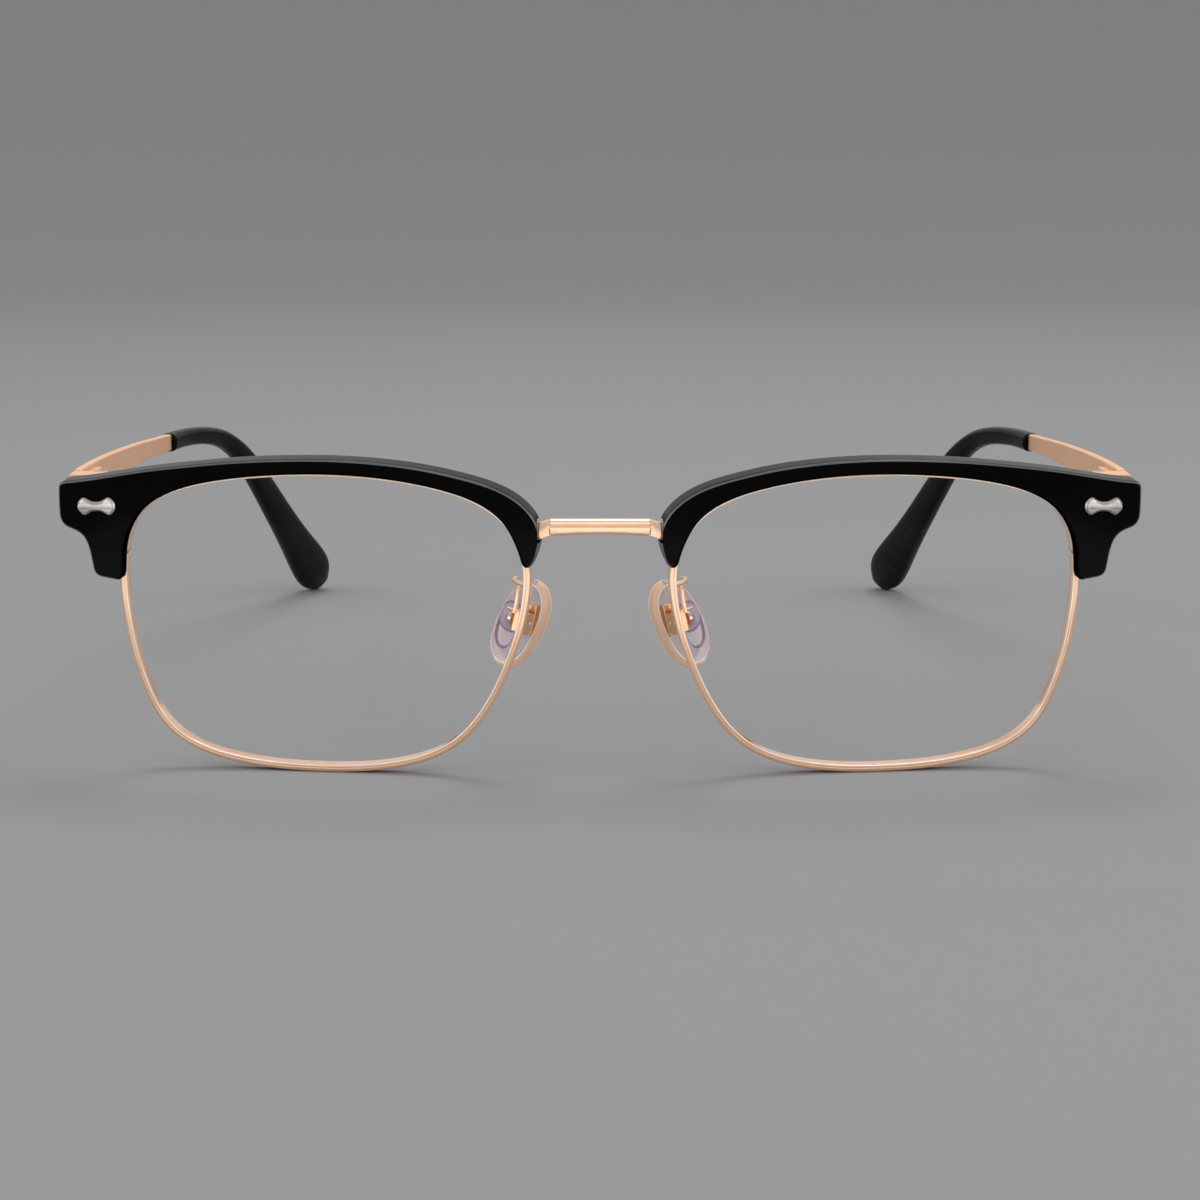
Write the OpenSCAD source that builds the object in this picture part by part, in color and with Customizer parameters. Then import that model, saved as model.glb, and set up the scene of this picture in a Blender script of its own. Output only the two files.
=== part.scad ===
// Browline spectacles with dark brow pieces over thin metal eyewires.
// Standing open on a table: X across the front, +Y towards the ends of the temples, +Z up.
// Origin: middle of the outline on the table. "Right" and "left" are the wearer's, so right is -X.
// Everything is modelled on the right side and mirrored. Lengths are millimetres.

/* [Front] */
// Distance from the middle of the bridge to each lens centre
eye_x = 36.1; // [35.9:0.1:36.4]
// Lean of the front: how far its lower edge sits back (degrees)
lean = 4; // [3.5:0.5:4.5]
// Backward wrap of each side of the front (degrees)
wrap = 6; // [5.5:0.5:6.5]
// Radius of the curved lens front
base_r = 180; // [176:2:190]

/* [Eyewire and lens] */
// Width of the eyewire seen from the front
wire_w = 1.0; // [0.9:0.05:1.1]
// Depth of the eyewire from front to back
wire_d = 2.0; // [1.9:0.05:2.1]
// How far the eyewire stands in front of the lens
wire_lip = 0.4; // [0.3:0.05:0.5]
// Depth of the groove that holds the lens
groove_d = 0.5; // [0.4:0.05:0.6]
// Thickness of the lens
lens_t = 1.6; // [1.4:0.1:1.8]

/* [Brow] */
// How far the brow's face stands in front of the lens
brow_front = 2.0; // [1.8:0.1:2.2]
// Thickness of the decorative plaque on the brow
plaque_t = 0.55; // [0.4:0.05:0.7]
// Radius of the plaque's rivet pins
pin_r = 0.5; // [0.4:0.05:0.6]

/* [Hinge] */
// Radius of the hinge knuckles
knuckle_r = 1.3; // [1.2:0.05:1.35]
// Radius of the hinge screw
hinge_screw_r = 0.7; // [0.6:0.05:0.75]
// Radial clearance of the hinge screw in the knuckles
hinge_play = 0.03; // [0.02:0.01:0.05]

/* [Temple] */
// Thickness of the metal blade
blade_t = 1.2; // [1.1:0.05:1.3]
// Gap between the metal core and the bore of the temple tip
core_play = 0.1; // [0.08:0.02:0.14]

/* [Nose pads] */
// Length of a pad
pad_l = 13; // [12.4:0.2:13.6]
// Width of a pad
pad_w = 7.4; // [7.2:0.1:7.8]
// Thickness of a pad
pad_t = 2.4; // [2.2:0.1:2.5]
// Radius of the wire of the pad arm
arm_r = 0.36; // [0.33:0.01:0.38]
// Radius of the small screw that holds the pad
pad_screw_r = 0.4; // [0.35:0.05:0.45]

/* [Hidden] */
// Where the front sits from the origin
front_y = -70.5;
eye_z = 21.65;
back = wire_lip - wire_d;      // rear face of eyewire and brow, from the lens front
plate_back = back - 1.3;       // rear face of the end plate
$fn = 48;
SF = 240;                      // facets of the large spheres
GAP = 0.05;

GOLD = [0.86, 0.66, 0.53];
SILVER = [0.80, 0.77, 0.74];
BLACK = [0.07, 0.07, 0.075];
STEEL = [0.72, 0.70, 0.68];

// ---- smooth curves through hand-placed points ----
// Outline of the eyewire, seen square on: across from the lens centre (nose side +) and up.
EYE = [
  [-1, 20.25], [5.5, 20], [11.5, 19.25], [17, 17.9], [21.2, 16], [24.1, 13.5], [25.9, 10.4],
  [26.8, 7.1], [26.75, 3.6], [26.15, 0], [25.2, -3.5], [23.9, -7.1], [22, -11.1], [19.3, -15.2],
  [15.6, -18.4], [10.5, -20.5], [4, -21.55], [-3, -21.75], [-10.2, -21.4], [-17, -20.15],
  [-21.9, -17.8], [-25, -14.3], [-26.95, -9.4], [-28.15, -4.8], [-28.8, 0], [-29.05, 4.6],
  [-28.7, 9], [-27.4, 12.7], [-24.6, 15.75], [-20.2, 17.8], [-14.2, 19.2], [-7.5, 20]
];
// Brow: top edge from the hinge side to the nose, then the nasal end
BROW_TOP = [
  [-36.4, 17.4], [-33, 17.95], [-28.5, 18.85], [-24, 19.7], [-18, 20.55], [-12, 21.25], [-6, 21.65],
  [0, 21.8], [6, 21.55], [12, 20.9], [17, 19.85], [21, 18.75], [24.3, 17.25], [26.75, 15.2],
  [28, 13], [28.2, 10.9], [27.8, 9.1]
];
// Brow: lower edge from the nose back to the hinge side, along the lens
BROW_LOW = [
  [25.7, 8.8], [25.15, 10.4], [24.1, 12.6], [22.3, 14.75], [19.5, 16.5], [15.5, 17.9], [10, 19.05],
  [4, 19.7], [-2, 19.8], [-8, 19.45], [-13.5, 18.8], [-18.5, 17.7], [-22.3, 16.2],
  [-25.2, 14.15], [-27, 11.5], [-27.8, 8.8], [-28.05, 5.7]
];
// Brow: outer edge of the small drop beside the lens
BROW_DROP = [[-32.4, 5.75], [-32.65, 7.2], [-33.1, 9.1], [-34, 10.5], [-35.6, 11.15]];

// near-interpolating cubic B-spline, closed
function cl(i, n) = ((i % n) + n) % n;
function ctl(p) = let(n = len(p)) [for (i = [0:n - 1]) p[i] - (p[cl(i - 1, n)] - 2*p[i] + p[cl(i + 1, n)])/6];
function bs(a, b, c, d, t) = (pow(1 - t, 3)*a + (3*t*t*t - 6*t*t + 4)*b + (-3*t*t*t + 3*t*t + 3*t + 1)*c + t*t*t*d)/6;
function bd(a, b, c, d, t) = (-pow(1 - t, 2)*a + (3*t*t - 4*t)*b + (-3*t*t + 2*t + 1)*c + t*t*d)/2;
function loop(p, inset = 0, m = 3) = let(n = len(p), c = ctl(p))
  [for (i = [0:n - 1], j = [0:m - 1]) let(t = j/m, a = c[cl(i - 1, n)], b = c[i], e = c[cl(i + 1, n)], f = c[cl(i + 2, n)],
     d = bd(a, b, e, f, t)) bs(a, b, e, f, t) + inset*[d[1], -d[0]]/norm(d)];
// the same, open, with its ends kept
function ext(p) = let(n = len(p)) concat([2*p[0] - p[1]], p, [2*p[n - 1] - p[n - 2]]);
function octl(p) = let(e = ext(p), n = len(p), c = [for (i = [1:n]) e[i] - (e[i - 1] - 2*e[i] + e[i + 1])/6])
  concat([2*c[0] - c[1]], c, [2*c[n - 1] - c[n - 2]]);
function open(p, m = 2) = let(c = octl(p), n = len(p))
  concat([for (i = [0:n - 2], j = [0:m - 1]) bs(c[i], c[i + 1], c[i + 2], c[i + 3], j/m)],
         [bs(c[n - 2], c[n - 1], c[n], c[n + 1], 1)]);
// rounded corner from a to b, pulled towards k
function bend(a, k, b, m = 4) = [for (j = [1:m - 1]) let(t = j/m) (1 - t)*(1 - t)*a + 2*t*(1 - t)*k + t*t*b];
function last(p) = p[len(p) - 1];

brow_line = concat(
  open(BROW_TOP), bend([27.8, 9.1], [27.25, 7.6], [26.6, 7.55]), [[26.6, 7.55]],
  bend([26.6, 7.55], [25.9, 7.55], [25.7, 8.8]), open(BROW_LOW),
  bend([-28.05, 5.7], [-28.05, 4.6], [-28.9, 4.5]), [[-28.9, 4.5], [-31, 4.75]],
  bend([-31, 4.75], [-32.15, 4.8], [-32.4, 5.75]), open(BROW_DROP),
  bend([-35.6, 11.15], [-37.05, 11.5], [-37.15, 13]), [[-37.15, 13], [-37.2, 14.8], [-37.2, 16.7]],
  bend([-37.2, 16.7], [-37.2, 17.3], [-36.4, 17.4]));

// ---- placing ----
module right() { translate([0, front_y, 0]) children(); }
module left() { mirror([1, 0, 0]) right() children(); }
module eye() { translate([-eye_x, 0, eye_z]) rotate([lean, 0, 0]) rotate([0, 0, -wrap]) children(); }

// straight prism of an outline, from y1 back to y2
module prism(pts, y1, y2) { translate([0, y2, 0]) rotate([90, 0, 0]) linear_extrude(height = y2 - y1) polygon(pts); }
module dome(o) { translate([0, base_r, 0]) sphere(r = base_r + o, $fn = SF); }
// curved plate: outline cut from the shell between o1 (front) and o2 (rear)
module shell(pts, o1, o2) { difference() { intersection() { prism(pts, -6, 16); dome(o1); } dome(o2); } }
// depth of the lens front at a place
function dip(x, z, o = 0) = base_r - sqrt(pow(base_r + o, 2) - x*x - z*z);

// ---- eyewire, lens ----
split_z = 8;
lug_x = -30.3;
lug_y = 5.2;
module lug_body(z1, z2) {
  translate([-31.5, 3.2, z1]) cube([3.2, 3.3, z2 - z1]);
}
module rim() {
  color(GOLD) eye() difference() {
    union() {
      difference() {
        union() {
          shell(loop(EYE), wire_lip, back);
          lug_body(5.9, 10.2);
          // tab for the brow's rear screw
          shell([[20.8, 15.75], [22.5, 14.75], [24.3, 16.3], [23.6, 17.4], [21.9, 17.7]], back, back - 0.8);
        }
        prism(loop(EYE, wire_w), -8, 18);
        shell(loop(EYE, wire_w - groove_d), -0.35, -1.15);
      }
    }
    // split of the eyewire and the two lugs
    translate([-32, 0, split_z - 0.12]) cube([5.4, 9, 0.24]);
    // closing screw: clearance above, head seat below
    translate([lug_x, lug_y, 5]) cylinder(r = 0.62, h = 6);
    translate([lug_x, lug_y, 5]) cylinder(r = 0.98, h = 1.5);
    // brow screw hole
    translate([22.7, 0, 16.5]) rotate([-90, 0, 0]) cylinder(r = 0.55, h = 10);
  }
}
module lens() {
  color([0.8, 0.85, 0.9, 0.35]) eye() union() {
    shell(loop(EYE, wire_w), 0, -lens_t);
    shell(loop(EYE, wire_w - groove_d + 0.02), -0.37, -1.13);
  }
}
module closing_screw() {
  color(STEEL) eye() translate([lug_x, lug_y, 0]) difference() {
    union() {
      translate([0, 0, 5.95]) cylinder(r = 0.95, h = 0.5);
      translate([0, 0, 6.4]) cylinder(r = 0.6, h = 3.65);
    }
    translate([-1.2, -0.12, 5.9]) cube([2.4, 0.24, 0.3]);
  }
}

// ---- brow, plaque ----
PLAQUE_C = [-31.65, 14.35];
PINS = [[-33.4, 14.25], [-29.9, 14.45]];
plaque_half = [[0, 0.72], [0.75, 0.8], [1.25, 1.12], [1.7, 1.28], [2.1, 1.2], [2.6, 0.65], [2.75, 0.2]];
plaque_line = let(a = [for (p = plaque_half) [p[0], p[1]]], n = len(a)) concat(
  [for (i = [n - 1:-1:1]) [-a[i][0], a[i][1]]], a, [for (i = [n - 1:-1:0]) [a[i][0], -a[i][1]]], [for (i = [1:n - 1]) [-a[i][0], -a[i][1]]]);
plaque_turn = 3.5;
function moved(pts, c, a) = [for (p = pts) [p[0]*cos(a) - p[1]*sin(a), p[0]*sin(a) + p[1]*cos(a)] + c];
module pins(r, y1, y2) { for (p = PINS) translate([p[0], y1, p[1]]) rotate([-90, 0, 0]) cylinder(r = r, h = y2 - y1); }
module rivets(r) { for (p = PINS) let(a = dip(p[0], p[1], brow_front + 0.2)) translate([p[0], a, p[1]]) rotate([-90, 0, 0]) cylinder(r = r, h = 5.6); }
module tongue(x1, x2) {
  // end of the bridge, let into the back of the brow and butted on the eyewire
  translate([x1, -1.15, 32.35]) cube([x2 - x1, 2.1, 2.8]);
}
module brow() {
  color(BLACK) difference() {
    eye() difference() {
      shell(brow_line, brow_front, back);
      // seat of the eyewire
      intersection() { prism(loop(EYE), -8, 18); dome(wire_lip); }
      // pocket behind the drop for the closing lugs
      translate([-31.7, 3.0, 3.5]) cube([3.8, 6, 6.85]);
      pins(pin_r, 0, 9);
      translate([22.7, dip(22.7, 16.5, back) - 2.3, 16.5]) rotate([-90, 0, 0]) cylinder(r = 0.42, h = 6);
    }
    tongue(-12, -6);
    translate([-12, 0, 32.35]) cube([6, 4, 2.8]);
  }
}
module brow_plaque() {
  color(SILVER) eye() union() {
    shell(moved(plaque_line, PLAQUE_C, plaque_turn), brow_front + plaque_t, brow_front);
    rivets(pin_r - 0.01);
  }
}
module brow_screw() {
  d = dip(22.7, 16.5, back - 0.8);
  color(STEEL) eye() translate([22.7, 0, 16.5]) rotate([-90, 0, 0]) difference() {
    union() {
      translate([0, 0, d - 2.7]) cylinder(r = 0.41, h = 3);
      translate([0, 0, d + 0.12]) cylinder(r = 0.85, h = 0.45);
    }
    translate([-1, -0.11, d + 0.37]) cube([2, 0.22, 0.4]);
  }
}

// ---- bridge ----
// section of the bar: rounded top, two facets with a fine step between them
BAR = [[-1.2, 33.25], [-0.9, 32.95], [0.7, 32.9], [0.95, 33.15], [0.95, 34.9], [0.7, 35.25], [-0.75, 35.3],
       [-1.05, 35.0], [-1.2, 34.4], [-1.1, 34.25], [-1.25, 34.1]];
module bridge() {
  color(GOLD) right() difference() {
    union() {
      translate([-7, 0, 0]) rotate([90, 0, 90]) linear_extrude(height = 14) polygon(BAR);
      tongue(-12, -6.9);
      tongue(6.9, 12);
    }
    eye() intersection() { prism(loop(EYE), -8, 18); translate([0, 0, 0]) dome(wire_lip + 2.5); }
    mirror([1, 0, 0]) eye() intersection() { prism(loop(EYE), -8, 18); dome(wire_lip + 2.5); }
  }
}

// ---- end piece and hinge ----
// hinge axis
hx = -68.6;
hy = 14;
k0 = 35.3;
k1 = 36.75;
k2 = 38.15;
k3 = 39.3;
module end_piece() {
  color(GOLD) difference() {
    union() {
      eye() shell([[-36.7, 11.9], [-33, 11.7], [-31.3, 10.2], [-28.1, 10.2], [-27.7, 11.6], [-26.7, 13.2], [-25.4, 14.5],
                   [-26.4, 15.6], [-29.6, 16.5], [-36.7, 16.95]], back, plate_back);
      difference() {
        translate([-72.1, 9.25, 34.9]) cube([4.6, 4.1, 4.9]);
        // room for the temple's knuckle
        translate([hx, hy, k1 - GAP]) cylinder(r = knuckle_r + 0.12, h = k2 - k1 + 2*GAP);
      }
      translate([hx, hy, k0]) cylinder(r = knuckle_r, h = k1 - k0 - GAP);
      translate([hx, hy, k2 + GAP]) cylinder(r = knuckle_r, h = k3 - k2 - GAP);
      translate([hx - 1, 12.9, k0]) cube([2, 1.1, k1 - k0 - GAP]);
      translate([hx - 1, 12.9, k2 + GAP]) cube([2, 1.1, k3 - k2 - GAP]);
    }
    translate([hx, hy, 30]) cylinder(r = hinge_screw_r, h = 14);
    // seat for the screw head
    translate([hx, hy, k3]) cylinder(r = 1.2, h = 4);
    eye() pins(pin_r, 3, 12);
  }
}
module hinge_screw() {
  color(STEEL) translate([hx, hy, 0]) difference() {
    union() {
      translate([0, 0, k0]) cylinder(r = hinge_screw_r, h = k3 - k0 + 0.1);
      translate([0, 0, k3]) cylinder(r = 1.1, h = 0.42);
    }
    translate([-1.3, -0.13, k3 + 0.2]) cube([2.6, 0.26, 0.4]);
  }
}

// ---- temple ----
splay = 0.65;
bx = -70.9;
BLADE_TOP = [[13.4, 40.1], [22, 40], [33, 39.6], [45.5, 38.95], [58.5, 38.15], [72, 37.15], [84, 36.3]];
BLADE_LOW = [[84, 33.7], [72, 34.45], [58, 35.15], [47, 35.5], [36, 35.7], [25, 35.6], [13.4, 35.3]];
// path of the temple tip: middle x, y, z, thickness, height, twist
TIP = [
  [-70.6, 84, 34.95, 2.9, 3, 0], [-69.4, 90, 34.95, 2.9, 2.9, 0], [-67.2, 97, 34.55, 2.9, 2.9, 3],
  [-65.1, 103.5, 33.35, 2.9, 3.1, 6], [-63.2, 108.5, 31, 2.9, 3.4, 9], [-61.5, 113.5, 27.5, 3, 3.9, 12],
  [-59.75, 119.5, 22.5, 3.1, 4.6, 16], [-57.9, 126, 16.8, 3.3, 5.2, 20], [-56, 132.5, 11.1, 3.5, 6.1, 24],
  [-54.4, 137.5, 6.6, 3.8, 7.3, 27], [-53.4, 141, 3.6, 3.7, 7.2, 28], [-52.8, 143.1, 1.5, 2.4, 4.3, 28]];
// metal core inside the tip: same path, thickness and height of its own
CORE = [for (i = [0:9]) [TIP[i][0], TIP[i][1], TIP[i][2], 1.0, 2.2 - 0.12*i, TIP[i][5]]];
BORE = [for (i = [0:9]) [TIP[i][0], TIP[i][1], TIP[i][2], 1.0 + 2*core_play, 2.2 - 0.12*i + 2*core_play, TIP[i][5]]];

function sgn(v) = v < 0 ? -1 : 1;
function pt3(v) = [v[0], v[1], v[2]];
// one ring of a swept section: superellipse on the path's own frame
function ring(q, d, n, e) = let(h = [d[0], d[1], 0]/norm([d[0], d[1], 0]), n0 = [h[1], -h[0], 0], u = d/norm(d),
    w0 = cross(n0, u)*sgn(cross(n0, u)[2]), nn = cos(q[5])*n0 - sin(q[5])*w0, ww = cos(q[5])*w0 + sin(q[5])*n0)
  [for (k = [0:n - 1]) let(a = -360*(k + 0.5)/n)
    pt3(q) + sgn(cos(a))*pow(abs(cos(a)), e)*q[3]/2*nn + sgn(sin(a))*pow(abs(sin(a)), e)*q[4]/2*ww];
function rings(p, n, e, m) = let(c = octl(p), k = len(p))
  concat([for (i = [0:k - 2], j = [0:m - 1]) let(t = j/m) ring(bs(c[i], c[i + 1], c[i + 2], c[i + 3], t), pt3(bd(c[i], c[i + 1], c[i + 2], c[i + 3], t)), n, e)],
         [ring(bs(c[k - 2], c[k - 1], c[k], c[k + 1], 1), pt3(bd(c[k - 2], c[k - 1], c[k], c[k + 1], 1)), n, e)]);
module skin(r) {
  n = len(r[0]);
  m = len(r);
  polyhedron(
    points = [for (a = r) each a],
    faces = concat([[for (k = [0:n - 1]) k]],
      [for (i = [0:m - 2], k = [0:n - 1]) [i*n + k, (i + 1)*n + k, (i + 1)*n + (k + 1)%n]],
      [for (i = [0:m - 2], k = [0:n - 1]) [i*n + k, (i + 1)*n + (k + 1)%n, i*n + (k + 1)%n]],
      [[for (k = [n - 1:-1:0]) (m - 1)*n + k]]));
}
module blade_frame() { translate([bx, hy, 0]) rotate([0, 0, -splay]) translate([0, -hy, 0]) children(); }
module temple() {
  color(GOLD) difference() {
    union() {
      difference() {
        union() {
          blade_frame() {
            translate([-blade_t, 0, 0]) rotate([90, 0, 90]) linear_extrude(height = blade_t) polygon(concat(open(BLADE_TOP), open(BLADE_LOW)));
            // hinge leaf on the inner face
            translate([-0.1, 15.5, 35.9]) cube([0.9, 7, 3.3]);
          }
          translate([bx - 0.1, 13.5, k1]) cube([2.3, 2.6, k2 - k1]);
        }
      }
      translate([hx, hy, k1]) cylinder(r = knuckle_r, h = k2 - k1);
    }
    translate([hx, hy, 30]) cylinder(r = hinge_screw_r + hinge_play, h = 14);
  }
  color(GOLD) skin(rings(concat([[-70.66, 82, 35, 0.9, 2.2, 0]], CORE), 12, 0.6, 2));
}
module temple_tip() {
  color(BLACK) difference() {
    skin(rings(TIP, 20, 0.77, 3));
    skin(rings(concat([[-70.66, 82, 35, 1.0 + 2*core_play, 2.2 + 2*core_play, 0]], BORE), 12, 0.6, 2));
  }
}

// ---- nose pads ----
pc = [-10.8, 7.5, 19.6];
// pad axes: long (up), contact normal (towards the nose and face)
pL = [0.42, -0.07, 0.9]/norm([0.42, -0.07, 0.9]);
pN0 = [0.6, 0.8, 0];
pN = (pN0 - (pN0*pL)*pL)/norm(pN0 - (pN0*pL)*pL);
pW = cross(pL, pN);
// the box stands more upright than the pad, towards its nasal edge
bL0 = [0.15, -0.07, 0.98];
bL = (bL0 - (bL0*pN)*pN)/norm(bL0 - (bL0*pN)*pN);
bW = cross(bL, pN);
bc = pc - 1.6*bW + 0.7*bL;
module pad_frame() {
  // x: width, y: long axis, z: contact normal
  multmatrix([[pW[0], pL[0], pN[0], pc[0]], [pW[1], pL[1], pN[1], pc[1]], [pW[2], pL[2], pN[2], pc[2]], [0, 0, 0, 1]]) children();
}
module box_frame() {
  multmatrix([[bW[0], bL[0], pN[0], bc[0]], [bW[1], bL[1], pN[1], bc[1]], [bW[2], bL[2], pN[2], bc[2]], [0, 0, 0, 1]]) children();
}
axis_d = -2.6;      // depth of the pad screw below the pad's middle
function pad_ring(z, s, n) = [for (k = [0:n - 1]) let(a = 360*k/n, w = pad_w/2*s)
  [w*cos(a), (pad_l/2 - pad_w/2*(1 - s))*sgn(sin(a))*pow(abs(sin(a)), 0.75), z]];
module nose_pad() {
  color([0.93, 0.85, 0.82, 0.5]) difference() {
    pad_frame() skin([for (s = [[-0.5, 0.8], [-0.4, 0.93], [-0.2, 1], [0.1, 1], [0.3, 0.93], [0.43, 0.78], [0.5, 0.5]]) pad_ring(s[0]*pad_t, s[1], 28)]);
    box_frame() translate([-0.95, -1.7, -pad_t/2 - 1]) cube([1.9, 3.4, 1.6 + 0.4]);
  }
}
module pad_insert() {
  color(GOLD) box_frame() difference() {
    union() {
      translate([-0.95, -1.7, -pad_t/2]) cube([1.9, 3.4, 1.0]);
      translate([-0.7, -0.8, axis_d]) cube([1.4, 1.6, -axis_d - pad_t/2 + 0.2]);
      translate([-0.7, 0, axis_d]) rotate([0, 90, 0]) cylinder(r = 0.8, h = 1.4);
    }
    translate([-3, 0, axis_d]) rotate([0, 90, 0]) cylinder(r = pad_screw_r + 0.03, h = 6);
  }
}
// the arm's wire, from the back of the eyewire to the box
ARM = [[-10.1, 0.76, 26.15], [-10.75, 1.45, 26.3], [-11.45, 2.4, 26.4], [-11.45, 3.4, 26.5], [-11.1, 4.1, 26.35],
       [-10.95, 4.4, 25.6], [-11.05, 4.3, 24.5], [-11.25, 4, 23.4], [-11.55, 3.75, 22.4], [-11.75, 3.65, 21.5], [-11.9, 3.65, 20.9]];
function tube(p, r, n, m) = let(c = octl(p), k = len(p))
  [for (i = [0:(k - 1)*m]) let(s = min(floor(i/m), k - 2), t = i/m - s, q = bs(c[s], c[s + 1], c[s + 2], c[s + 3], t),
     d = bd(c[s], c[s + 1], c[s + 2], c[s + 3], t), u = d/norm(d), a = cross(u, [1, 0.3, 0])/norm(cross(u, [1, 0.3, 0])), b = cross(u, a))
     [for (j = [0:n - 1]) q + r*(cos(360*j/n)*a + sin(360*j/n)*b)]];
module pad_arm() {
  color(GOLD) union() {
    skin(tube(ARM, arm_r, 10, 2));
    box_frame() difference() {
      translate([-1.6, -1.4, axis_d - 0.95]) cube([3.2, 2.8, 1.75]);
      translate([-0.75, -2, axis_d - 0.9]) cube([1.5, 4, 3]);
      translate([-3, 0, axis_d]) rotate([0, 90, 0]) cylinder(r = pad_screw_r, h = 6);
    }
    box_frame() translate([-1.6, -1.4, axis_d - 1.35]) cube([3.2, 2.8, 0.42]);
  }
}
module pad_screw() {
  color(STEEL) box_frame() translate([0, 0, axis_d]) rotate([0, 90, 0]) difference() {
    union() {
      translate([0, 0, -1.65]) cylinder(r = pad_screw_r, h = 3.3);
      translate([0, 0, 1.6]) cylinder(r = 0.9, h = 0.4);
    }
    translate([-1.1, -0.1, 1.85]) cube([2.2, 0.2, 0.25]);
  }
}

bridge();
right() rim();  // rim_right
left() rim();  // rim_left
right() lens();  // lens_right
left() lens();  // lens_left
right() brow();  // brow_right
left() brow();  // brow_left
right() brow_plaque();  // brow_plaque_right
left() brow_plaque();  // brow_plaque_left
right() brow_screw();  // brow_screw_right
left() brow_screw();  // brow_screw_left
right() end_piece();  // end_piece_right
left() end_piece();  // end_piece_left
right() closing_screw();  // closing_screw_right
left() closing_screw();  // closing_screw_left
right() hinge_screw();  // hinge_screw_right
left() hinge_screw();  // hinge_screw_left
right() temple();  // temple_right
left() temple();  // temple_left
right() temple_tip();  // temple_tip_right
left() temple_tip();  // temple_tip_left
right() pad_arm();  // pad_arm_right
left() pad_arm();  // pad_arm_left
right() pad_screw();  // pad_screw_right
left() pad_screw();  // pad_screw_left
right() pad_insert();  // pad_insert_right
left() pad_insert();  // pad_insert_left
right() nose_pad();  // nose_pad_right
left() nose_pad();  // nose_pad_left
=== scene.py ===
# Browline spectacles: visual model. Lengths in the build functions are millimetres in the CAD frame,
# modelled on the wearer's right side (-X) and mirrored to the left; meshes are written in metres.
import math
import bpy, bmesh
import numpy as np
from mathutils import Vector, Matrix
from mathutils.geometry import delaunay_2d_cdt


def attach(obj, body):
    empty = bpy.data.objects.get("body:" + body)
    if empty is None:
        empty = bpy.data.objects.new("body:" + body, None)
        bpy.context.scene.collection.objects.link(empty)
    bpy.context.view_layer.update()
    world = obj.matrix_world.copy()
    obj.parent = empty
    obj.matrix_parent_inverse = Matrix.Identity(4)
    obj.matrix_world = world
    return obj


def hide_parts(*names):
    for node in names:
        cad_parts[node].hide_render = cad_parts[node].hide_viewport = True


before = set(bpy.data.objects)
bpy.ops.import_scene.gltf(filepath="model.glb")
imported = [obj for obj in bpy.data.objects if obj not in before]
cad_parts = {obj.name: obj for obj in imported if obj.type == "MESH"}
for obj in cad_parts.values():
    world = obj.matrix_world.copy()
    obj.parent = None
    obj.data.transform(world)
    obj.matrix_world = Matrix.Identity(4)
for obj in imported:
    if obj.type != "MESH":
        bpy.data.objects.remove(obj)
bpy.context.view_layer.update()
sc = bpy.context.scene
COLL = sc.collection

# ------------------------------------------------------------------ camera
cam_d = bpy.data.cameras.new("Camera")
cam = bpy.data.objects.new("Camera", cam_d)
COLL.objects.link(cam)
cam.location = (0.0, -0.4205, 0.08879)
cam.rotation_euler = (math.radians(79.553), 0.0, 0.0)
cam_d.sensor_width = 36.0
cam_d.lens = 80.05
cam_d.clip_start = 0.01
cam_d.clip_end = 50.0
sc.camera = cam

# ------------------------------------------------------------------ numbers shared with the CAD
FRONT_Y = -70.5
EYE_X, EYE_Z, LEAN, WRAP, R0 = 36.1, 21.65, 4.0, 6.0, 180.0
LIP, BACK, BROW_F = 0.4, -1.6, 2.0
A = np.array
EYE = A([
    [-1, 20.25], [5.5, 20], [11.5, 19.25], [17, 17.9], [21.2, 16], [24.1, 13.5], [25.9, 10.4],
    [26.8, 7.1], [26.75, 3.6], [26.15, 0], [25.2, -3.5], [23.9, -7.1], [22, -11.1], [19.3, -15.2],
    [15.6, -18.4], [10.5, -20.5], [4, -21.55], [-3, -21.75], [-10.2, -21.4], [-17, -20.15],
    [-21.9, -17.8], [-25, -14.3], [-26.95, -9.4], [-28.15, -4.8], [-28.8, 0], [-29.05, 4.6],
    [-28.7, 9], [-27.4, 12.7], [-24.6, 15.75], [-20.2, 17.8], [-14.2, 19.2], [-7.5, 20]], float)
BROW_TOP = A([
    [-36.4, 17.4], [-33, 17.95], [-28.5, 18.85], [-24, 19.7], [-18, 20.55], [-12, 21.25], [-6, 21.65],
    [0, 21.8], [6, 21.55], [12, 20.9], [17, 19.85], [21, 18.75], [24.3, 17.25], [26.75, 15.2],
    [28, 13], [28.2, 10.9], [27.8, 9.1]], float)
BROW_LOW = A([
    [25.7, 8.8], [25.15, 10.4], [24.1, 12.6], [22.3, 14.75], [19.5, 16.5], [15.5, 17.9], [10, 19.05],
    [4, 19.7], [-2, 19.8], [-8, 19.45], [-13.5, 18.8], [-18.5, 17.7], [-22.3, 16.2],
    [-25.2, 14.15], [-27, 11.5], [-27.8, 8.8], [-28.05, 5.7]], float)
BROW_DROP = A([[-32.4, 5.75], [-32.65, 7.2], [-33.1, 9.1], [-34, 10.5], [-35.6, 11.15]], float)


# ------------------------------------------------------------------ curves
def bs(a, b, c, d, t):
    return ((1 - t) ** 3 * a + (3 * t ** 3 - 6 * t * t + 4) * b + (-3 * t ** 3 + 3 * t * t + 3 * t + 1) * c + t ** 3 * d) / 6


def closed_curve(p, m):
    c = p - (np.roll(p, 1, 0) - 2 * p + np.roll(p, -1, 0)) / 6
    out = []
    n = len(p)
    for i in range(n):
        for j in range(m):
            out.append(bs(c[i - 1], c[i], c[(i + 1) % n], c[(i + 2) % n], j / m))
    return A(out)


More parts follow.
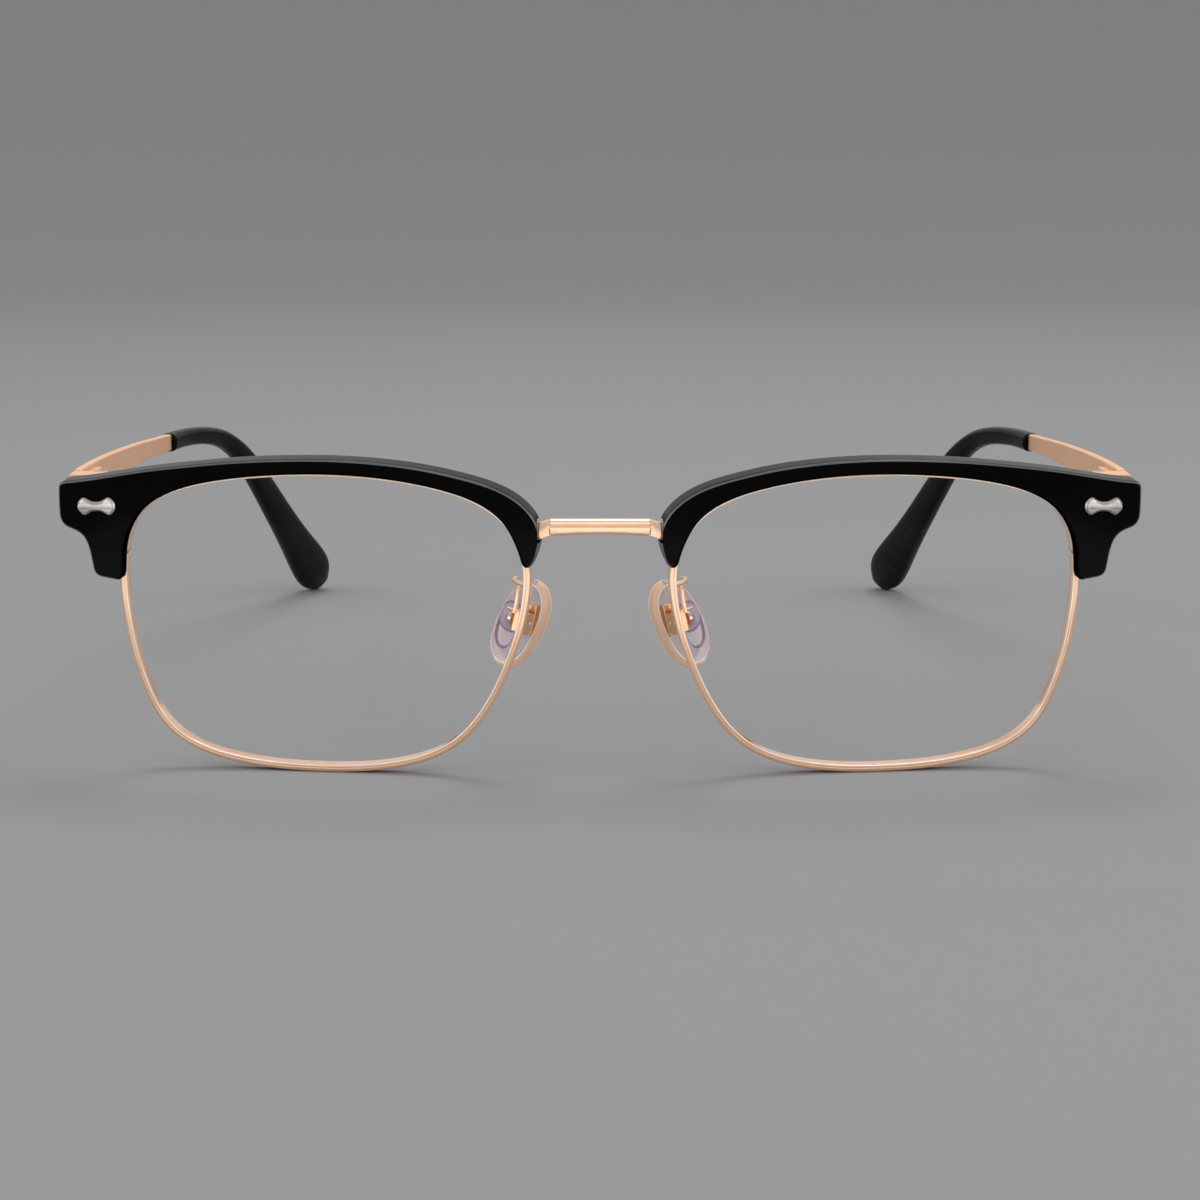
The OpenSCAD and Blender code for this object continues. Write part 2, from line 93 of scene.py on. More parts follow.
def open_ctl(p):
    e = np.vstack([2 * p[0] - p[1], p, 2 * p[-1] - p[-2]])
    c = e[1:-1] - (e[:-2] - 2 * e[1:-1] + e[2:]) / 6
    return np.vstack([2 * c[0] - c[1], c, 2 * c[-1] - c[-2]])


def open_curve(p, m):
    c = open_ctl(p)
    out = []
    for i in range(len(p) - 1):
        for j in range(m):
            out.append(bs(c[i], c[i + 1], c[i + 2], c[i + 3], j / m))
    out.append(bs(c[-4], c[-3], c[-2], c[-1], 1.0))
    return A(out)


def bend(a, k, b, m=8):
    a, k, b = A(a, float), A(k, float), A(b, float)
    return A([(1 - t) ** 2 * a + 2 * t * (1 - t) * k + t * t * b for t in np.arange(1, m) / m])


def resample_closed(p, n):
    q = np.vstack([p, p[:1]])
    s = np.concatenate([[0], np.cumsum(np.linalg.norm(np.diff(q, axis=0), axis=1))])
    u = np.arange(n) * s[-1] / n
    return np.stack([np.interp(u, s, q[:, k]) for k in range(q.shape[1])], 1)


def resample_open(p, n):
    s = np.concatenate([[0], np.cumsum(np.linalg.norm(np.diff(p, axis=0), axis=1))])
    u = np.linspace(0, s[-1], n)
    return np.stack([np.interp(u, s, p[:, k]) for k in range(p.shape[1])], 1)


def smooth_closed(p, sigma):
    step = np.linalg.norm(np.diff(np.vstack([p, p[:1]]), axis=0), axis=1).mean()
    k = max(1, int(3 * sigma / step))
    w = np.exp(-0.5 * (np.arange(-k, k + 1) * step / sigma) ** 2)
    w /= w.sum()
    return sum(wi * np.roll(p, -i, 0) for wi, i in zip(w, range(-k, k + 1)))


def inward(p):
    d = np.roll(p, -1, 0) - np.roll(p, 1, 0)
    n = np.stack([d[:, 1], -d[:, 0]], 1)
    return n / np.linalg.norm(n, axis=1)[:, None]


def round_poly(pts, radii, seg=4, closed=True):
    """polygon corners replaced by arcs (quadratic), radius is the cut-back along the sides"""
    pts = [A(p, float) for p in pts]
    n = len(pts)
    out = []
    for i in range(n):
        if not closed and i in (0, n - 1):
            out.append(pts[i])
            continue
        p, a, b, r = pts[i], pts[i - 1], pts[(i + 1) % n], radii[i]
        if r <= 0:
            out.append(p)
            continue
        ua, ub = (a - p), (b - p)
        ra = min(r, 0.49 * np.linalg.norm(ua))
        rb = min(r, 0.49 * np.linalg.norm(ub))
        s, e = p + ua / np.linalg.norm(ua) * ra, p + ub / np.linalg.norm(ub) * rb
        for t in np.linspace(0, 1, seg + 1):
            # a conic with weight close to a circle's
            w = 0.7071
            den = (1 - t) ** 2 + 2 * w * t * (1 - t) + t * t
            out.append(((1 - t) ** 2 * s + 2 * w * t * (1 - t) * p + t * t * e) / den)
    return A(out)


def rot(v, axis, deg):
    c, s = math.cos(math.radians(deg)), math.sin(math.radians(deg))
    x, y, z = v[..., 0], v[..., 1], v[..., 2]
    if axis == "x":
        return np.stack([x, c * y - s * z, s * y + c * z], -1)
    return np.stack([c * x - s * y, s * x + c * y, z], -1)


def eye(v):
    """eye frame -> part frame, mm"""
    return rot(rot(A(v, float), "z", -WRAP), "x", LEAN) + A([-EYE_X, FRONT_Y, EYE_Z])


def part(v):
    return A(v, float) + A([0, FRONT_Y, 0])


def dip(x, z, o=0.0):
    return R0 - np.sqrt((R0 + o) ** 2 - x * x - z * z)


# ------------------------------------------------------------------ meshes
def unify(bm):
    bmesh.ops.recalc_face_normals(bm, faces=bm.faces)
    return bm


def area_normals(me):
    """vertex normals weighted by face area, so large faces stay flat beside narrow bevels"""
    n = len(me.vertices)
    acc = np.zeros((n, 3))
    for p in me.polygons:
        v = np.array(p.normal) * p.area
        for i in p.vertices:
            acc[i] += v
    ln = np.linalg.norm(acc, axis=1)
    ln[ln == 0] = 1
    return acc / ln[:, None]


def to_object(name, V, F, mat, body, slot, replaces=(), sharp=None, weighted=True, mirror=False, mats=None, fmat=None):
    V = A(V, float) * 0.001
    if mirror:
        V = V * A([-1, 1, 1])
    me = bpy.data.meshes.new(name)
    me.from_pydata([tuple(v) for v in V], [], [tuple(int(i) for i in f) for f in F])
    for m in (mats or [mat]):
        me.materials.append(m)
    if fmat is not None:
        me.polygons.foreach_set("material_index", np.array(fmat, np.int32))
    bm = bmesh.new()
    bm.from_mesh(me)
    unify(bm)
    bm.to_mesh(me)
    bm.free()
    for p in me.polygons:
        p.use_smooth = True
    if sharp:
        me.set_sharp_from_angle(angle=math.radians(sharp))
    elif weighted:
        me.normals_split_custom_set_from_vertices([tuple(v) for v in area_normals(me)])
    ob = bpy.data.objects.new(name, me)
    COLL.objects.link(ob)
    if sharp:
        w = ob.modifiers.new("Weighted", "WEIGHTED_NORMAL")
        w.mode = "FACE_AREA"
        w.keep_sharp = True
    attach(ob, body)
    if replaces:
        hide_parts(*replaces)
    return ob


def both(name, V, F, mat, bodies, slot, node=None, **k):
    r = to_object(name + "_right", V, F, mat, bodies[0], slot, [node + "_right"] if node else (), **k)
    l = to_object(name + "_left", V, F, mat, bodies[1], slot, [node + "_left"] if node else (), mirror=True, **k)
    return r, l


FRONT = ("front", "front")
TEMPLE = ("temple_right", "temple_left")
PAD = ("pad_right", "pad_left")


class Build:
    """collects vertices and faces of one piece"""
    def __init__(self):
        self.V, self.F, self.M = [], [], []
        self.n = 0

    def add(self, V, F, m=0):
        V = A(V, float).reshape(-1, 3)
        self.V.append(V)
        self.F += [tuple(i + self.n for i in f) for f in F]
        self.M += [m] * len(F)
        self.n += len(V)

    def grid(self, G, closed_i=False, closed_j=False, cap0=False, cap1=False, m=0):
        """G: stations x ring points x 3"""
        a, b = G.shape[:2]
        F = []
        for i in range(a if closed_i else a - 1):
            i2 = (i + 1) % a
            for j in range(b if closed_j else b - 1):
                j2 = (j + 1) % b
                F.append((i * b + j, i2 * b + j, i2 * b + j2, i * b + j2))
        if cap0:
            F.append(tuple(range(b)))
        if cap1:
            F.append(tuple((a - 1) * b + j for j in reversed(range(b))))
        self.add(G.reshape(-1, 3), F, m)

    def get(self):
        return np.vstack(self.V), self.F


def prism_between(ring0, ring1):
    return np.stack([ring0, ring1])


def bevel_box(lo, hi, r, seg=3):
    """a box with rounded edges, as a subdivided cube pushed onto a rounded box"""
    lo, hi = A(lo, float), A(hi, float)
    c, h = (lo + hi) / 2, (hi - lo) / 2
    r = min(r, h.min() * 0.98)
    def ticks(hh):
        a = [-hh]
        for k in range(1, seg + 1):
            t = k / seg
            a.append(-hh + r * (1 - math.cos(t * math.pi / 2)) if False else -hh + r * t)
        a += [-x for x in reversed(a)]
        return a
    V, F, idx = [], [], {}
    def vid(p):
        key = tuple(round(x, 6) for x in p)
        if key not in idx:
            idx[key] = len(V)
            V.append(p)
        return idx[key]
    T = [ticks(h[k]) for k in range(3)]
    for ax in range(3):
        u, w = (ax + 1) % 3, (ax + 2) % 3
        for sgn in (-1, 1):
            for i in range(len(T[u]) - 1):
                for j in range(len(T[w]) - 1):
                    q = []
                    for (a, b) in ((i, j), (i + 1, j), (i + 1, j + 1), (i, j + 1)):
                        p = [0, 0, 0]
                        p[ax] = sgn * h[ax]
                        p[u] = T[u][a]
                        p[w] = T[w][b]
                        q.append(vid(tuple(p)))
                    F.append(tuple(q))
    V = A(V, float)
    inner = np.clip(V, -(h - r), h - r)
    d = V - inner
    ln = np.linalg.norm(d, axis=1)
    ln[ln == 0] = 1
    V = inner + d / ln[:, None] * r
    return V + c, F


def mapped(V, M):
    """V through a 3x4"""
    M = A(M, float)
    return V @ M[:, :3].T + M[:, 3]


# ------------------------------------------------------------------ materials
def new_mat(name):
    m = bpy.data.materials.new(name)
    m.use_nodes = True
    nt = m.node_tree
    nt.nodes.clear()
    out = nt.nodes.new("ShaderNodeOutputMaterial")
    return m, nt, out


def N(nt, kind, **props):
    n = nt.nodes.new(kind)
    for k, v in props.items():
        setattr(n, k, v)
    return n


def noise(nt, co, scale, detail=3.0, rough=0.55, stretch=None):
    if stretch:
        mp = N(nt, "ShaderNodeMapping")
        mp.inputs["Scale"].default_value = stretch
        nt.links.new(co, mp.inputs["Vector"])
        co = mp.outputs["Vector"]
    n = N(nt, "ShaderNodeTexNoise")
    n.inputs["Scale"].default_value = scale
    n.inputs["Detail"].default_value = detail
    n.inputs["Roughness"].default_value = rough
    nt.links.new(co, n.inputs["Vector"])
    return n.outputs["Fac"]


def ramp(nt, fac, stops):
    r = N(nt, "ShaderNodeValToRGB")
    cr = r.color_ramp
    while len(cr.elements) < len(stops):
        cr.elements.new(0.5)
    for e, (p, c) in zip(cr.elements, stops):
        e.position = p
        e.color = (*c, 1.0) if len(c) == 3 else c
    nt.links.new(fac, r.inputs["Fac"])
    return r.outputs["Color"]


def remap(nt, fac, a, b, c, d):
    r = N(nt, "ShaderNodeMapRange")
    for k, v in zip(("From Min", "From Max", "To Min", "To Max"), (a, b, c, d)):
        r.inputs[k].default_value = v
    nt.links.new(fac, r.inputs["Value"])
    return r.outputs["Result"]


def bump(nt, height, strength, distance, prev=None):
    b = N(nt, "ShaderNodeBump")
    b.inputs["Strength"].default_value = strength
    b.inputs["Distance"].default_value = distance
    nt.links.new(height, b.inputs["Height"])
    if prev:
        nt.links.new(prev, b.inputs["Normal"])
    return b.outputs["Normal"]


def metal(name, c_dark, c_light, r_lo, r_hi, grain=2600, bump_d=0.000004, stretch=None, metallic=1.0, coat=0.0):
    m, nt, out = new_mat(name)
    L = nt.links.new
    co = N(nt, "ShaderNodeTexCoord").outputs["Object"]
    p = N(nt, "ShaderNodeBsdfPrincipled")
    p.inputs["Metallic"].default_value = metallic
    p.inputs["Coat Weight"].default_value = coat
    p.inputs["Coat Roughness"].default_value = 0.12
    big = noise(nt, co, 130, 4, 0.6)
    fine = noise(nt, co, grain, 2, 0.5, stretch)
    col = ramp(nt, big, [(0.3, c_dark), (0.7, c_light)])
    L(col, p.inputs["Base Color"])
    mix = N(nt, "ShaderNodeMath", operation="ADD")
    a = remap(nt, fine, 0.3, 0.7, 0.0, (r_hi - r_lo) * 0.6)
    b = remap(nt, noise(nt, co, 420, 3, 0.6), 0.3, 0.7, r_lo, r_lo + (r_hi - r_lo) * 0.4)
    L(a, mix.inputs[0])
    L(b, mix.inputs[1])
    L(mix.outputs[0], p.inputs["Roughness"])
    L(bump(nt, fine, 0.35, bump_d), p.inputs["Normal"])
    L(p.outputs[0], out.inputs["Surface"])
    return m


def srgb(r, g, b):
    f = lambda c: c / 12.92 if c <= 0.04045 else ((c + 0.055) / 1.055) ** 2.4
    return tuple(f(x / 255) for x in (r, g, b))


M_GOLD = metal("rose_gold", (0.97, 0.605, 0.395), (0.99, 0.65, 0.44), 0.16, 0.24, 3000, 0.000002, metallic=0.58, coat=0.6)
M_SATIN = metal("rose_gold_satin", (0.975, 0.545, 0.325), (0.995, 0.59, 0.365), 0.36, 0.48, 3400, 0.000006, metallic=0.30)
# a much darker copy of the rose gold for the insert inside the pad: painted shade
M_INSERT_SHADED = metal("rose_gold_deep_painted_shade", (0.62, 0.34, 0.17), (0.72, 0.42, 0.23), 0.20, 0.30, 3000, 0.000003, metallic=0.85)
# paler cream than the rim's gold: a painted highlight line; the low roughness and coat are the real polish
M_LAND_HIGHLIGHT = metal("rose_gold_polished_painted_highlight", (0.985, 0.72, 0.55), (0.995, 0.78, 0.62), 0.09, 0.15, 3000, 0.000001, metallic=0.40, coat=0.8)
# a darker copy of the rose gold for the pad box: painted shade
M_BOX_SHADED = metal("rose_gold_box_painted_shade", (0.78, 0.45, 0.25), (0.86, 0.52, 0.30), 0.20, 0.30, 3000, 0.000003, metallic=0.75)
M_SILVER = metal("brushed_silver", (0.38, 0.34, 0.31), (0.82, 0.755, 0.70), 0.22, 0.38, 3400, 0.000012, metallic=0.85)
M_BALL = metal("violet_steel", (0.56, 0.50, 0.58), (0.70, 0.64, 0.72), 0.07, 0.12, 4200, 0.000002)
M_STEEL = metal("steel", (0.56, 0.53, 0.53), (0.70, 0.67, 0.68), 0.16, 0.26, 4200, 0.000004)


def acetate(name="black_acetate", lo=0.0014, hi=0.0026, spec=0.045, r_lo=0.10, r_hi=0.16):
    m, nt, out = new_mat(name)
    L = nt.links.new
    co = N(nt, "ShaderNodeTexCoord").outputs["Object"]
    p = N(nt, "ShaderNodeBsdfPrincipled")
    p.inputs["IOR"].default_value = 1.46
    p.inputs["Specular IOR Level"].default_value = spec
    cloud = noise(nt, co, 90, 5, 0.6)
    L(ramp(nt, cloud, [(0.3, (lo, lo, lo * 1.05)), (0.75, (hi, hi, hi * 1.05))]), p.inputs["Base Color"])
    fine = noise(nt, co, 900, 3, 0.55)
    L(remap(nt, fine, 0.3, 0.7, r_lo, r_hi), p.inputs["Roughness"])
    L(bump(nt, noise(nt, co, 260, 2, 0.5), 0.25, 0.000012), p.inputs["Normal"])
    L(p.outputs[0], out.inputs["Surface"])
    return m


def tip_black():
    m, nt, out = new_mat("black_tip")
    L = nt.links.new
    co = N(nt, "ShaderNodeTexCoord").outputs["Object"]
    p = N(nt, "ShaderNodeBsdfPrincipled")
    p.inputs["IOR"].default_value = 1.46
    p.inputs["Specular IOR Level"].default_value = 0.11
    cloud = noise(nt, co, 110, 4, 0.6)
    L(ramp(nt, cloud, [(0.3, (0.0014, 0.0014, 0.0014)), (0.75, (0.0032, 0.0032, 0.0032))]), p.inputs["Base Color"])
    fine = noise(nt, co, 2200, 3, 0.55)
    L(remap(nt, fine, 0.3, 0.7, 0.24, 0.34), p.inputs["Roughness"])
    L(bump(nt, fine, 0.25, 0.000006), p.inputs["Normal"])
    L(p.outputs[0], out.inputs["Surface"])
    return m


def lens_mat():
    m, nt, out = new_mat("clear_lens")
    L = nt.links.new
    co = N(nt, "ShaderNodeTexCoord").outputs["Object"]
    p = N(nt, "ShaderNodeBsdfPrincipled")
    p.inputs["Metallic"].default_value = 1.0
    # faint green to violet drift of an anti-reflective coating
    L(ramp(nt, noise(nt, co, 40, 2, 0.5), [(0.35, (0.62, 0.74, 1.0)), (0.65, (0.80, 0.66, 1.0))]), p.inputs["Base Color"])
    L(remap(nt, noise(nt, co, 500, 2, 0.5), 0.3, 0.7, 0.015, 0.03), p.inputs["Roughness"])
    t = N(nt, "ShaderNodeBsdfTransparent")
    t.inputs["Color"].default_value = (0.992, 0.993, 0.994, 1)
    lw = N(nt, "ShaderNodeLayerWeight")
    lw.inputs["Blend"].default_value = 0.5
    pw = N(nt, "ShaderNodeMath", operation="POWER")
    L(lw.outputs["Facing"], pw.inputs[0])
    pw.inputs[1].default_value = 5.0
    f = remap(nt, pw.outputs[0], 0.0, 1.0, 0.0015, 0.36)
    mx = N(nt, "ShaderNodeMixShader")
    L(f, mx.inputs[0])
    L(t.outputs[0], mx.inputs[1])
    L(p.outputs[0], mx.inputs[2])
    L(mx.outputs[0], out.inputs["Surface"])
    return m


def pad_mat(name, body, skin, edge_lo, edge_hi, rough=0.05, see=0.45):
    """clear soft plastic: body colour, milky skin colour, and how strong the skin is face on and edge on"""
    m, nt, out = new_mat(name)
    L = nt.links.new
    co = N(nt, "ShaderNodeTexCoord").outputs["Object"]
    g = N(nt, "ShaderNodeBsdfPrincipled")
    g.inputs["Transmission Weight"].default_value = 1.0
    g.inputs["IOR"].default_value = 1.33
    cloud = noise(nt, co, 160, 3, 0.5)
    L(ramp(nt, cloud, [(0.3, tuple(c * 0.97 for c in body)), (0.7, body)]), g.inputs["Base Color"])
    L(remap(nt, noise(nt, co, 700, 3, 0.5), 0.3, 0.7, rough * 0.6, rough * 1.4), g.inputs["Roughness"])
    t = N(nt, "ShaderNodeBsdfTransparent")
    t.inputs["Color"].default_value = (*body, 1)
    a = N(nt, "ShaderNodeMixShader")
    a.inputs[0].default_value = see
    L(g.outputs[0], a.inputs[1])
    L(t.outputs[0], a.inputs[2])
    k = N(nt, "ShaderNodeBsdfPrincipled")
    L(ramp(nt, cloud, [(0.3, tuple(c * 0.94 for c in skin)), (0.7, skin)]), k.inputs["Base Color"])
    k.inputs["Roughness"].default_value = 0.22
    lw = N(nt, "ShaderNodeLayerWeight")
    lw.inputs["Blend"].default_value = 0.32
    f = remap(nt, lw.outputs["Facing"], 0.25, 0.95, edge_lo, edge_hi)
    b = N(nt, "ShaderNodeMixShader")
    L(f, b.inputs[0])
    L(a.outputs[0], b.inputs[1])
    L(k.outputs[0], b.inputs[2])
    sh = N(nt, "ShaderNodeBsdfTransparent")
    sh.inputs["Color"].default_value = (0.93, 0.90, 0.89, 1)
    lp = N(nt, "ShaderNodeLightPath")
    mx = N(nt, "ShaderNodeMixShader")
    L(lp.outputs["Is Shadow Ray"], mx.inputs[0])
    L(b.outputs[0], mx.inputs[1])
    L(sh.outputs[0], mx.inputs[2])
    L(mx.outputs[0], out.inputs["Surface"])
    return m


M_BLACK, M_TIP, M_LENS = acetate(), tip_black(), lens_mat()
M_EDGE_HIGHLIGHT = acetate("black_acetate_edge_painted_highlight", 0.05, 0.11, 0.8, 0.14, 0.22)      # polished outer edge; its lighter grey base colour is a painted highlight line along the front bevel
M_INNER = acetate("black_acetate_matt", 0.0012, 0.0022, 0.0, 0.55, 0.65)  # unpolished wall over the eyewire
M_PAD = pad_mat("clear_pad", (0.90, 0.87, 0.91), (0.80, 0.72, 0.76), 0.10, 0.45)
M_PAD_NOSE = pad_mat("clear_pad_warm", (0.98, 0.82, 0.68), (0.98, 0.64, 0.41), 0.68, 0.95)
M_PAD_SIDE = pad_mat("clear_pad_rose", (0.96, 0.88, 0.90), (0.98, 0.84, 0.82), 0.55, 1.0)
M_PAD_LINE = pad_mat("clear_pad_crease", (0.99, 0.94, 0.90), (1.0, 0.90, 0.82), 0.95, 1.0)
# dark violet for the steep walls of the rear dish: painted shade
M_PAD_PAINTED_SHADE = pad_mat("clear_pad_painted_shade", (0.46, 0.41, 0.58), (0.20, 0.165, 0.28), 0.45, 0.85)
M_PAD_DISH = pad_mat("clear_pad_dish", (0.97, 0.90, 0.94), (0.93, 0.80, 0.86), 0.38, 0.6)
# darker violet for the round boss on the rear: painted shade of the refracting dome
M_PAD_BOSS_SHADE = pad_mat("clear_pad_boss_painted_shade", (0.74, 0.66, 0.77), (0.52, 0.42, 0.54), 0.34, 0.7)


# ------------------------------------------------------------------ eyewire
eye_line = resample_closed(closed_curve(EYE, 24), 440)
eye_in = inward(eye_line)


def so(P, Nn, s, o):
    """point of the eye frame: inset s from the outline, offset o from the lens front"""
    q = P + s[..., None] * Nn if np.ndim(s) else P + s * Nn
    return np.stack([q[..., 0], dip(q[..., 0], q[..., 1], o), q[..., 1]], -1)


def rim_profile():
    pts = [(0.0, BACK), (0.0, LIP), (0.53, LIP), (0.585, LIP - 0.09), (0.64, LIP - 0.09), (0.69, LIP - 0.005),
           (1.0, LIP - 0.02), (1.0, -0.04), (0.93, -0.08), (0.93, -0.16), (1.0, -0.20), (1.0, BACK)]
    rad = [0.22, 0.27, 0.03, 0.0, 0.0, 0.06, 0.17, 0.02, 0, 0, 0.02, 0.18]
    return round_poly(pts, rad, 5)


def make_rim():
    prof = rim_profile()
    # start just above the split, go round, end just below it
    zc = 8.0
    i0 = [i for i in range(440) if eye_line[i][0] < -20 and eye_line[i][1] < zc <= eye_line[(i + 1) % 440][1]][0]
    order = [(i0 + 1 + k) % 440 for k in range(440)]
    P, Nn = eye_line[order].copy(), eye_in[order].copy()
    # trim both ends to the split's edges
    def at(z, a, b):
        t = (z - a[1]) / (b[1] - a[1])
        return a + t * (b - a)
    keep = [k for k in range(440) if not (P[k][0] < -20 and abs(P[k][1] - zc) < 0.10)]
    P, Nn = P[keep], Nn[keep]
    up = at(zc + 0.09, P[0], P[1])
    dn = at(zc - 0.09, P[-2], P[-1])
    P = np.vstack([up, P[P[:, 1] > -99][1:-1], dn])
    Nn = np.vstack([Nn[0], Nn[1:-1], Nn[-1]])
    G = np.stack([so(P, Nn, np.full(len(P), s), o) for s, o in prof], 1)
    b = Build()
    b.grid(G, closed_j=True, cap0=True, cap1=True)
    # the two closing lugs
    for z1, z2 in ((5.9, 7.9), (8.1, 10.2)):
        V, F = bevel_box((-31.45, 2.9, z1), (-28.6, 6.4, z2), 0.35, 3)
        b.add(V, F)
    # tab for the screw that holds the brow
    tab = round_poly([(20.6, 15.9), (22.5, 14.75), (24.4, 16.2), (23.6, 17.5), (21.8, 17.8)], [0.4, 0.5, 0.5, 0.5, 0.5], 4)
    rings = []
    for ins, o in ((0.0, BACK + 0.1), (0.0, BACK - 0.6), (0.08, BACK - 0.75), (0.2, BACK - 0.8)):
        c = tab.mean(0)
        q = c + (tab - c) * (1 - ins / 1.5)
        rings.append(np.stack([q[:, 0], dip(q[:, 0], q[:, 1], o), q[:, 1]], -1))
    b.grid(np.stack(rings), closed_j=True, cap0=True, cap1=True)
    V, F = b.get()
    # the land between the fine line and the lens is polished, and its paler cream colour is a painted highlight line
    k, top = len(prof), len(P) * len(prof)
    highlight_land = [q[0] > 0.685 and q[1] > LIP - 0.2 for q in prof]
    fm = [int(all(v < top and highlight_land[v % k] for v in f)) for f in F]
    return both("eyewire", eye(V), F, M_GOLD, FRONT, "rose_gold_metal", "rim", mats=[M_GOLD, M_LAND_HIGHLIGHT], fmat=fm)


# ------------------------------------------------------------------ lens
def make_lens():
    P, Nn = resample_closed(eye_line, 220), None
    Nn = inward(P)
    b = Build()
    prof = [(0.96, 0.0), (0.96, -0.8), (0.96, -1.6)]
    ringsF, ringsB = [], []
    c = A([-1.0, -0.7])
    base = P + 0.96 * Nn
    ks = np.linspace(1.0, 0.0, 17)[1:-1]
    front = [so(P, Nn, 0.96, 0.0)] + [np.stack([(c + (base - c) * k)[:, 0], dip(*(c + (base - c) * k).T, 0.0), (c + (base - c) * k)[:, 1]], -1) for k in ks]
    back = [so(P, Nn, 0.96, -1.6)] + [np.stack([(c + (base - c) * k)[:, 0], dip(*(c + (base - c) * k).T, -1.6), (c + (base - c) * k)[:, 1]], -1) for k in ks]
    edge = [so(P, Nn, s, o) for s, o in prof]
    G = np.stack(list(reversed(front[1:])) + edge + back[1:])
    n = G.shape[1]
    b.grid(G, closed_j=True)
    V, F = b.get()
    m = len(G)
    cf, cb = len(V), len(V) + 1
    V = np.vstack([V, [c[0], dip(c[0], c[1], 0.0), c[1]], [c[0], dip(c[0], c[1], -1.6), c[1]]])
    F += [(j, (j + 1) % n, cf) for j in range(n)] + [((m - 1) * n + (j + 1) % n, (m - 1) * n + j, cb) for j in range(n)]
    return both("lens_glass", eye(V), F, M_LENS, FRONT, "clear_lens", "lens", sharp=40)


# ------------------------------------------------------------------ brow
def brow_outline(n=720):
    p = np.vstack([
        open_curve(BROW_TOP, 12), bend([27.8, 9.1], [27.25, 7.6], [26.6, 7.55]), [[26.6, 7.55]],
        bend([26.6, 7.55], [25.9, 7.55], [25.7, 8.8]), open_curve(BROW_LOW, 12),
        bend([-28.05, 5.7], [-28.05, 4.6], [-28.9, 4.5]), [[-28.9, 4.5], [-31, 4.75]],
        bend([-31, 4.75], [-32.15, 4.8], [-32.4, 5.75]), open_curve(BROW_DROP, 12),
        bend([-35.6, 11.15], [-37.05, 11.5], [-37.15, 13]), [[-37.15, 13], [-37.2, 14.8], [-37.2, 16.7]],
        bend([-37.2, 16.7], [-37.2, 17.3], [-36.4, 17.4])])
    return smooth_closed(resample_closed(p, n), 0.28)


def on_shell(q, o):
    return np.stack([q[:, 0], dip(q[:, 0], q[:, 1], o), q[:, 1]], -1)


def fill(ring, spacing):
    """triangles over a closed 2D ring with a grid of points inside it"""
    n = len(ring)
    lo, hi = ring.min(0), ring.max(0)
    pts = [Vector(p) for p in ring]
    nxt = np.roll(ring, -1, 0)
    extra = []
    for ix, x in enumerate(np.arange(lo[0] + spacing / 2, hi[0], spacing)):
        for z in np.arange(lo[1] + spacing / 2, hi[1], spacing):
            # inside, and clear of the edge
            w = ((ring[:, 1] > z) != (nxt[:, 1] > z))
            xi = ring[w, 0] + (z - ring[w, 1]) / (nxt[w, 1] - ring[w, 1]) * (nxt[w, 0] - ring[w, 0])
            if (xi > x).sum() % 2 == 0:
                continue
            if np.min(np.hypot(ring[:, 0] - x, ring[:, 1] - z)) < spacing * 0.45:
                continue
            extra.append((x, z))
    pts += [Vector(p) for p in extra]
    vs, es, fs, ov, oe, of = delaunay_2d_cdt(pts, [], [list(range(n))], 1, 1e-6)
    back = {}
    for i, src in enumerate(ov):
        back[i] = src[0] if src else None
    P = A([[v[0], v[1]] for v in vs])
    return P, [tuple(f) for f in fs], [src[0] if src else -1 for src in ov]


def brow_solid():
    P = brow_outline()
    Nn = inward(P)
    rf, rb = 0.30, 0.22
    rings = []
    for t in np.linspace(0, 1, 6):                      # rear bevel, from the rear face out
        a = (1 - t) * math.pi / 2
        rings.append((rb * (1 - math.cos(a)), BACK + rb * (1 - math.sin(a))))
    for o in (-1.0, 0.0, 0.9):
        rings.append((0.0, o))
    for t in np.linspace(0, 1, 8):                      # front bevel
        a = t * math.pi / 2
        rings.append((rf * (1 - math.cos(a)), BROW_F - rf * (1 - math.sin(a))))
    rings.append((rf + 0.12, BROW_F))
    rings.insert(0, (rb + 0.12, BACK))
    G = np.stack([on_shell(P + s * Nn, o) for s, o in rings])
    b = Build()
    b.grid(G, closed_j=True)
    V, F = b.get()
    # which side of the outline lies over the lens
    e0, e1 = eye_line, np.roll(eye_line, -1, 0)
    lens_side = []
    for q in P:
        w = (e0[:, 1] > q[1]) != (e1[:, 1] > q[1])
        xi = e0[w, 0] + (q[1] - e0[w, 1]) / (e1[w, 1] - e0[w, 1]) * (e1[w, 0] - e0[w, 0])
        lens_side.append((xi > q[0]).sum() % 2 == 1)
    M = []
    for i in range(len(rings) - 1):
        for j in range(len(P)):
            # zone 1, the front bevel rings, takes the edge acetate, whose lighter grey is a painted highlight line
            M.append(2 if lens_side[j] and 1 <= i <= 16 else (1 if 12 <= i <= 15 else 0))
    n, m = len(P), len(rings)
    for side, (s, o) in ((0, rings[0]), (m - 1, rings[-1])):
        ring = P + s * Nn
        Q, T, src = fill(ring, 0.9)
        ids = []
        add = []
        for q, sidx in zip(Q, src):
            if 0 <= sidx < n:
                ids.append(side * n + sidx)
            else:
                ids.append(len(V) + len(add))
                add.append([q[0], float(dip(q[0], q[1], o)), q[1]])
        V = np.vstack([V, A(add)]) if add else V
        F += [tuple(ids[i] for i in t) for t in T]
        M += [0] * len(T)
    return V, F, M


def temp_object(V, F, M=None):
    me = bpy.data.meshes.new("tmp")
    me.from_pydata([tuple(v) for v in A(V, float) * 0.001], [], [tuple(int(i) for i in f) for f in F])
    if M is not None:
        for m in (M_BLACK, M_EDGE_HIGHLIGHT, M_INNER):
            me.materials.append(m)
        me.polygons.foreach_set("material_index", np.array(M, np.int32))
    bm = bmesh.new()
    bm.from_mesh(me)
    unify(bm)
    bm.to_mesh(me)
    bm.free()
    ob = bpy.data.objects.new("tmp", me)
    COLL.objects.link(ob)
    return ob


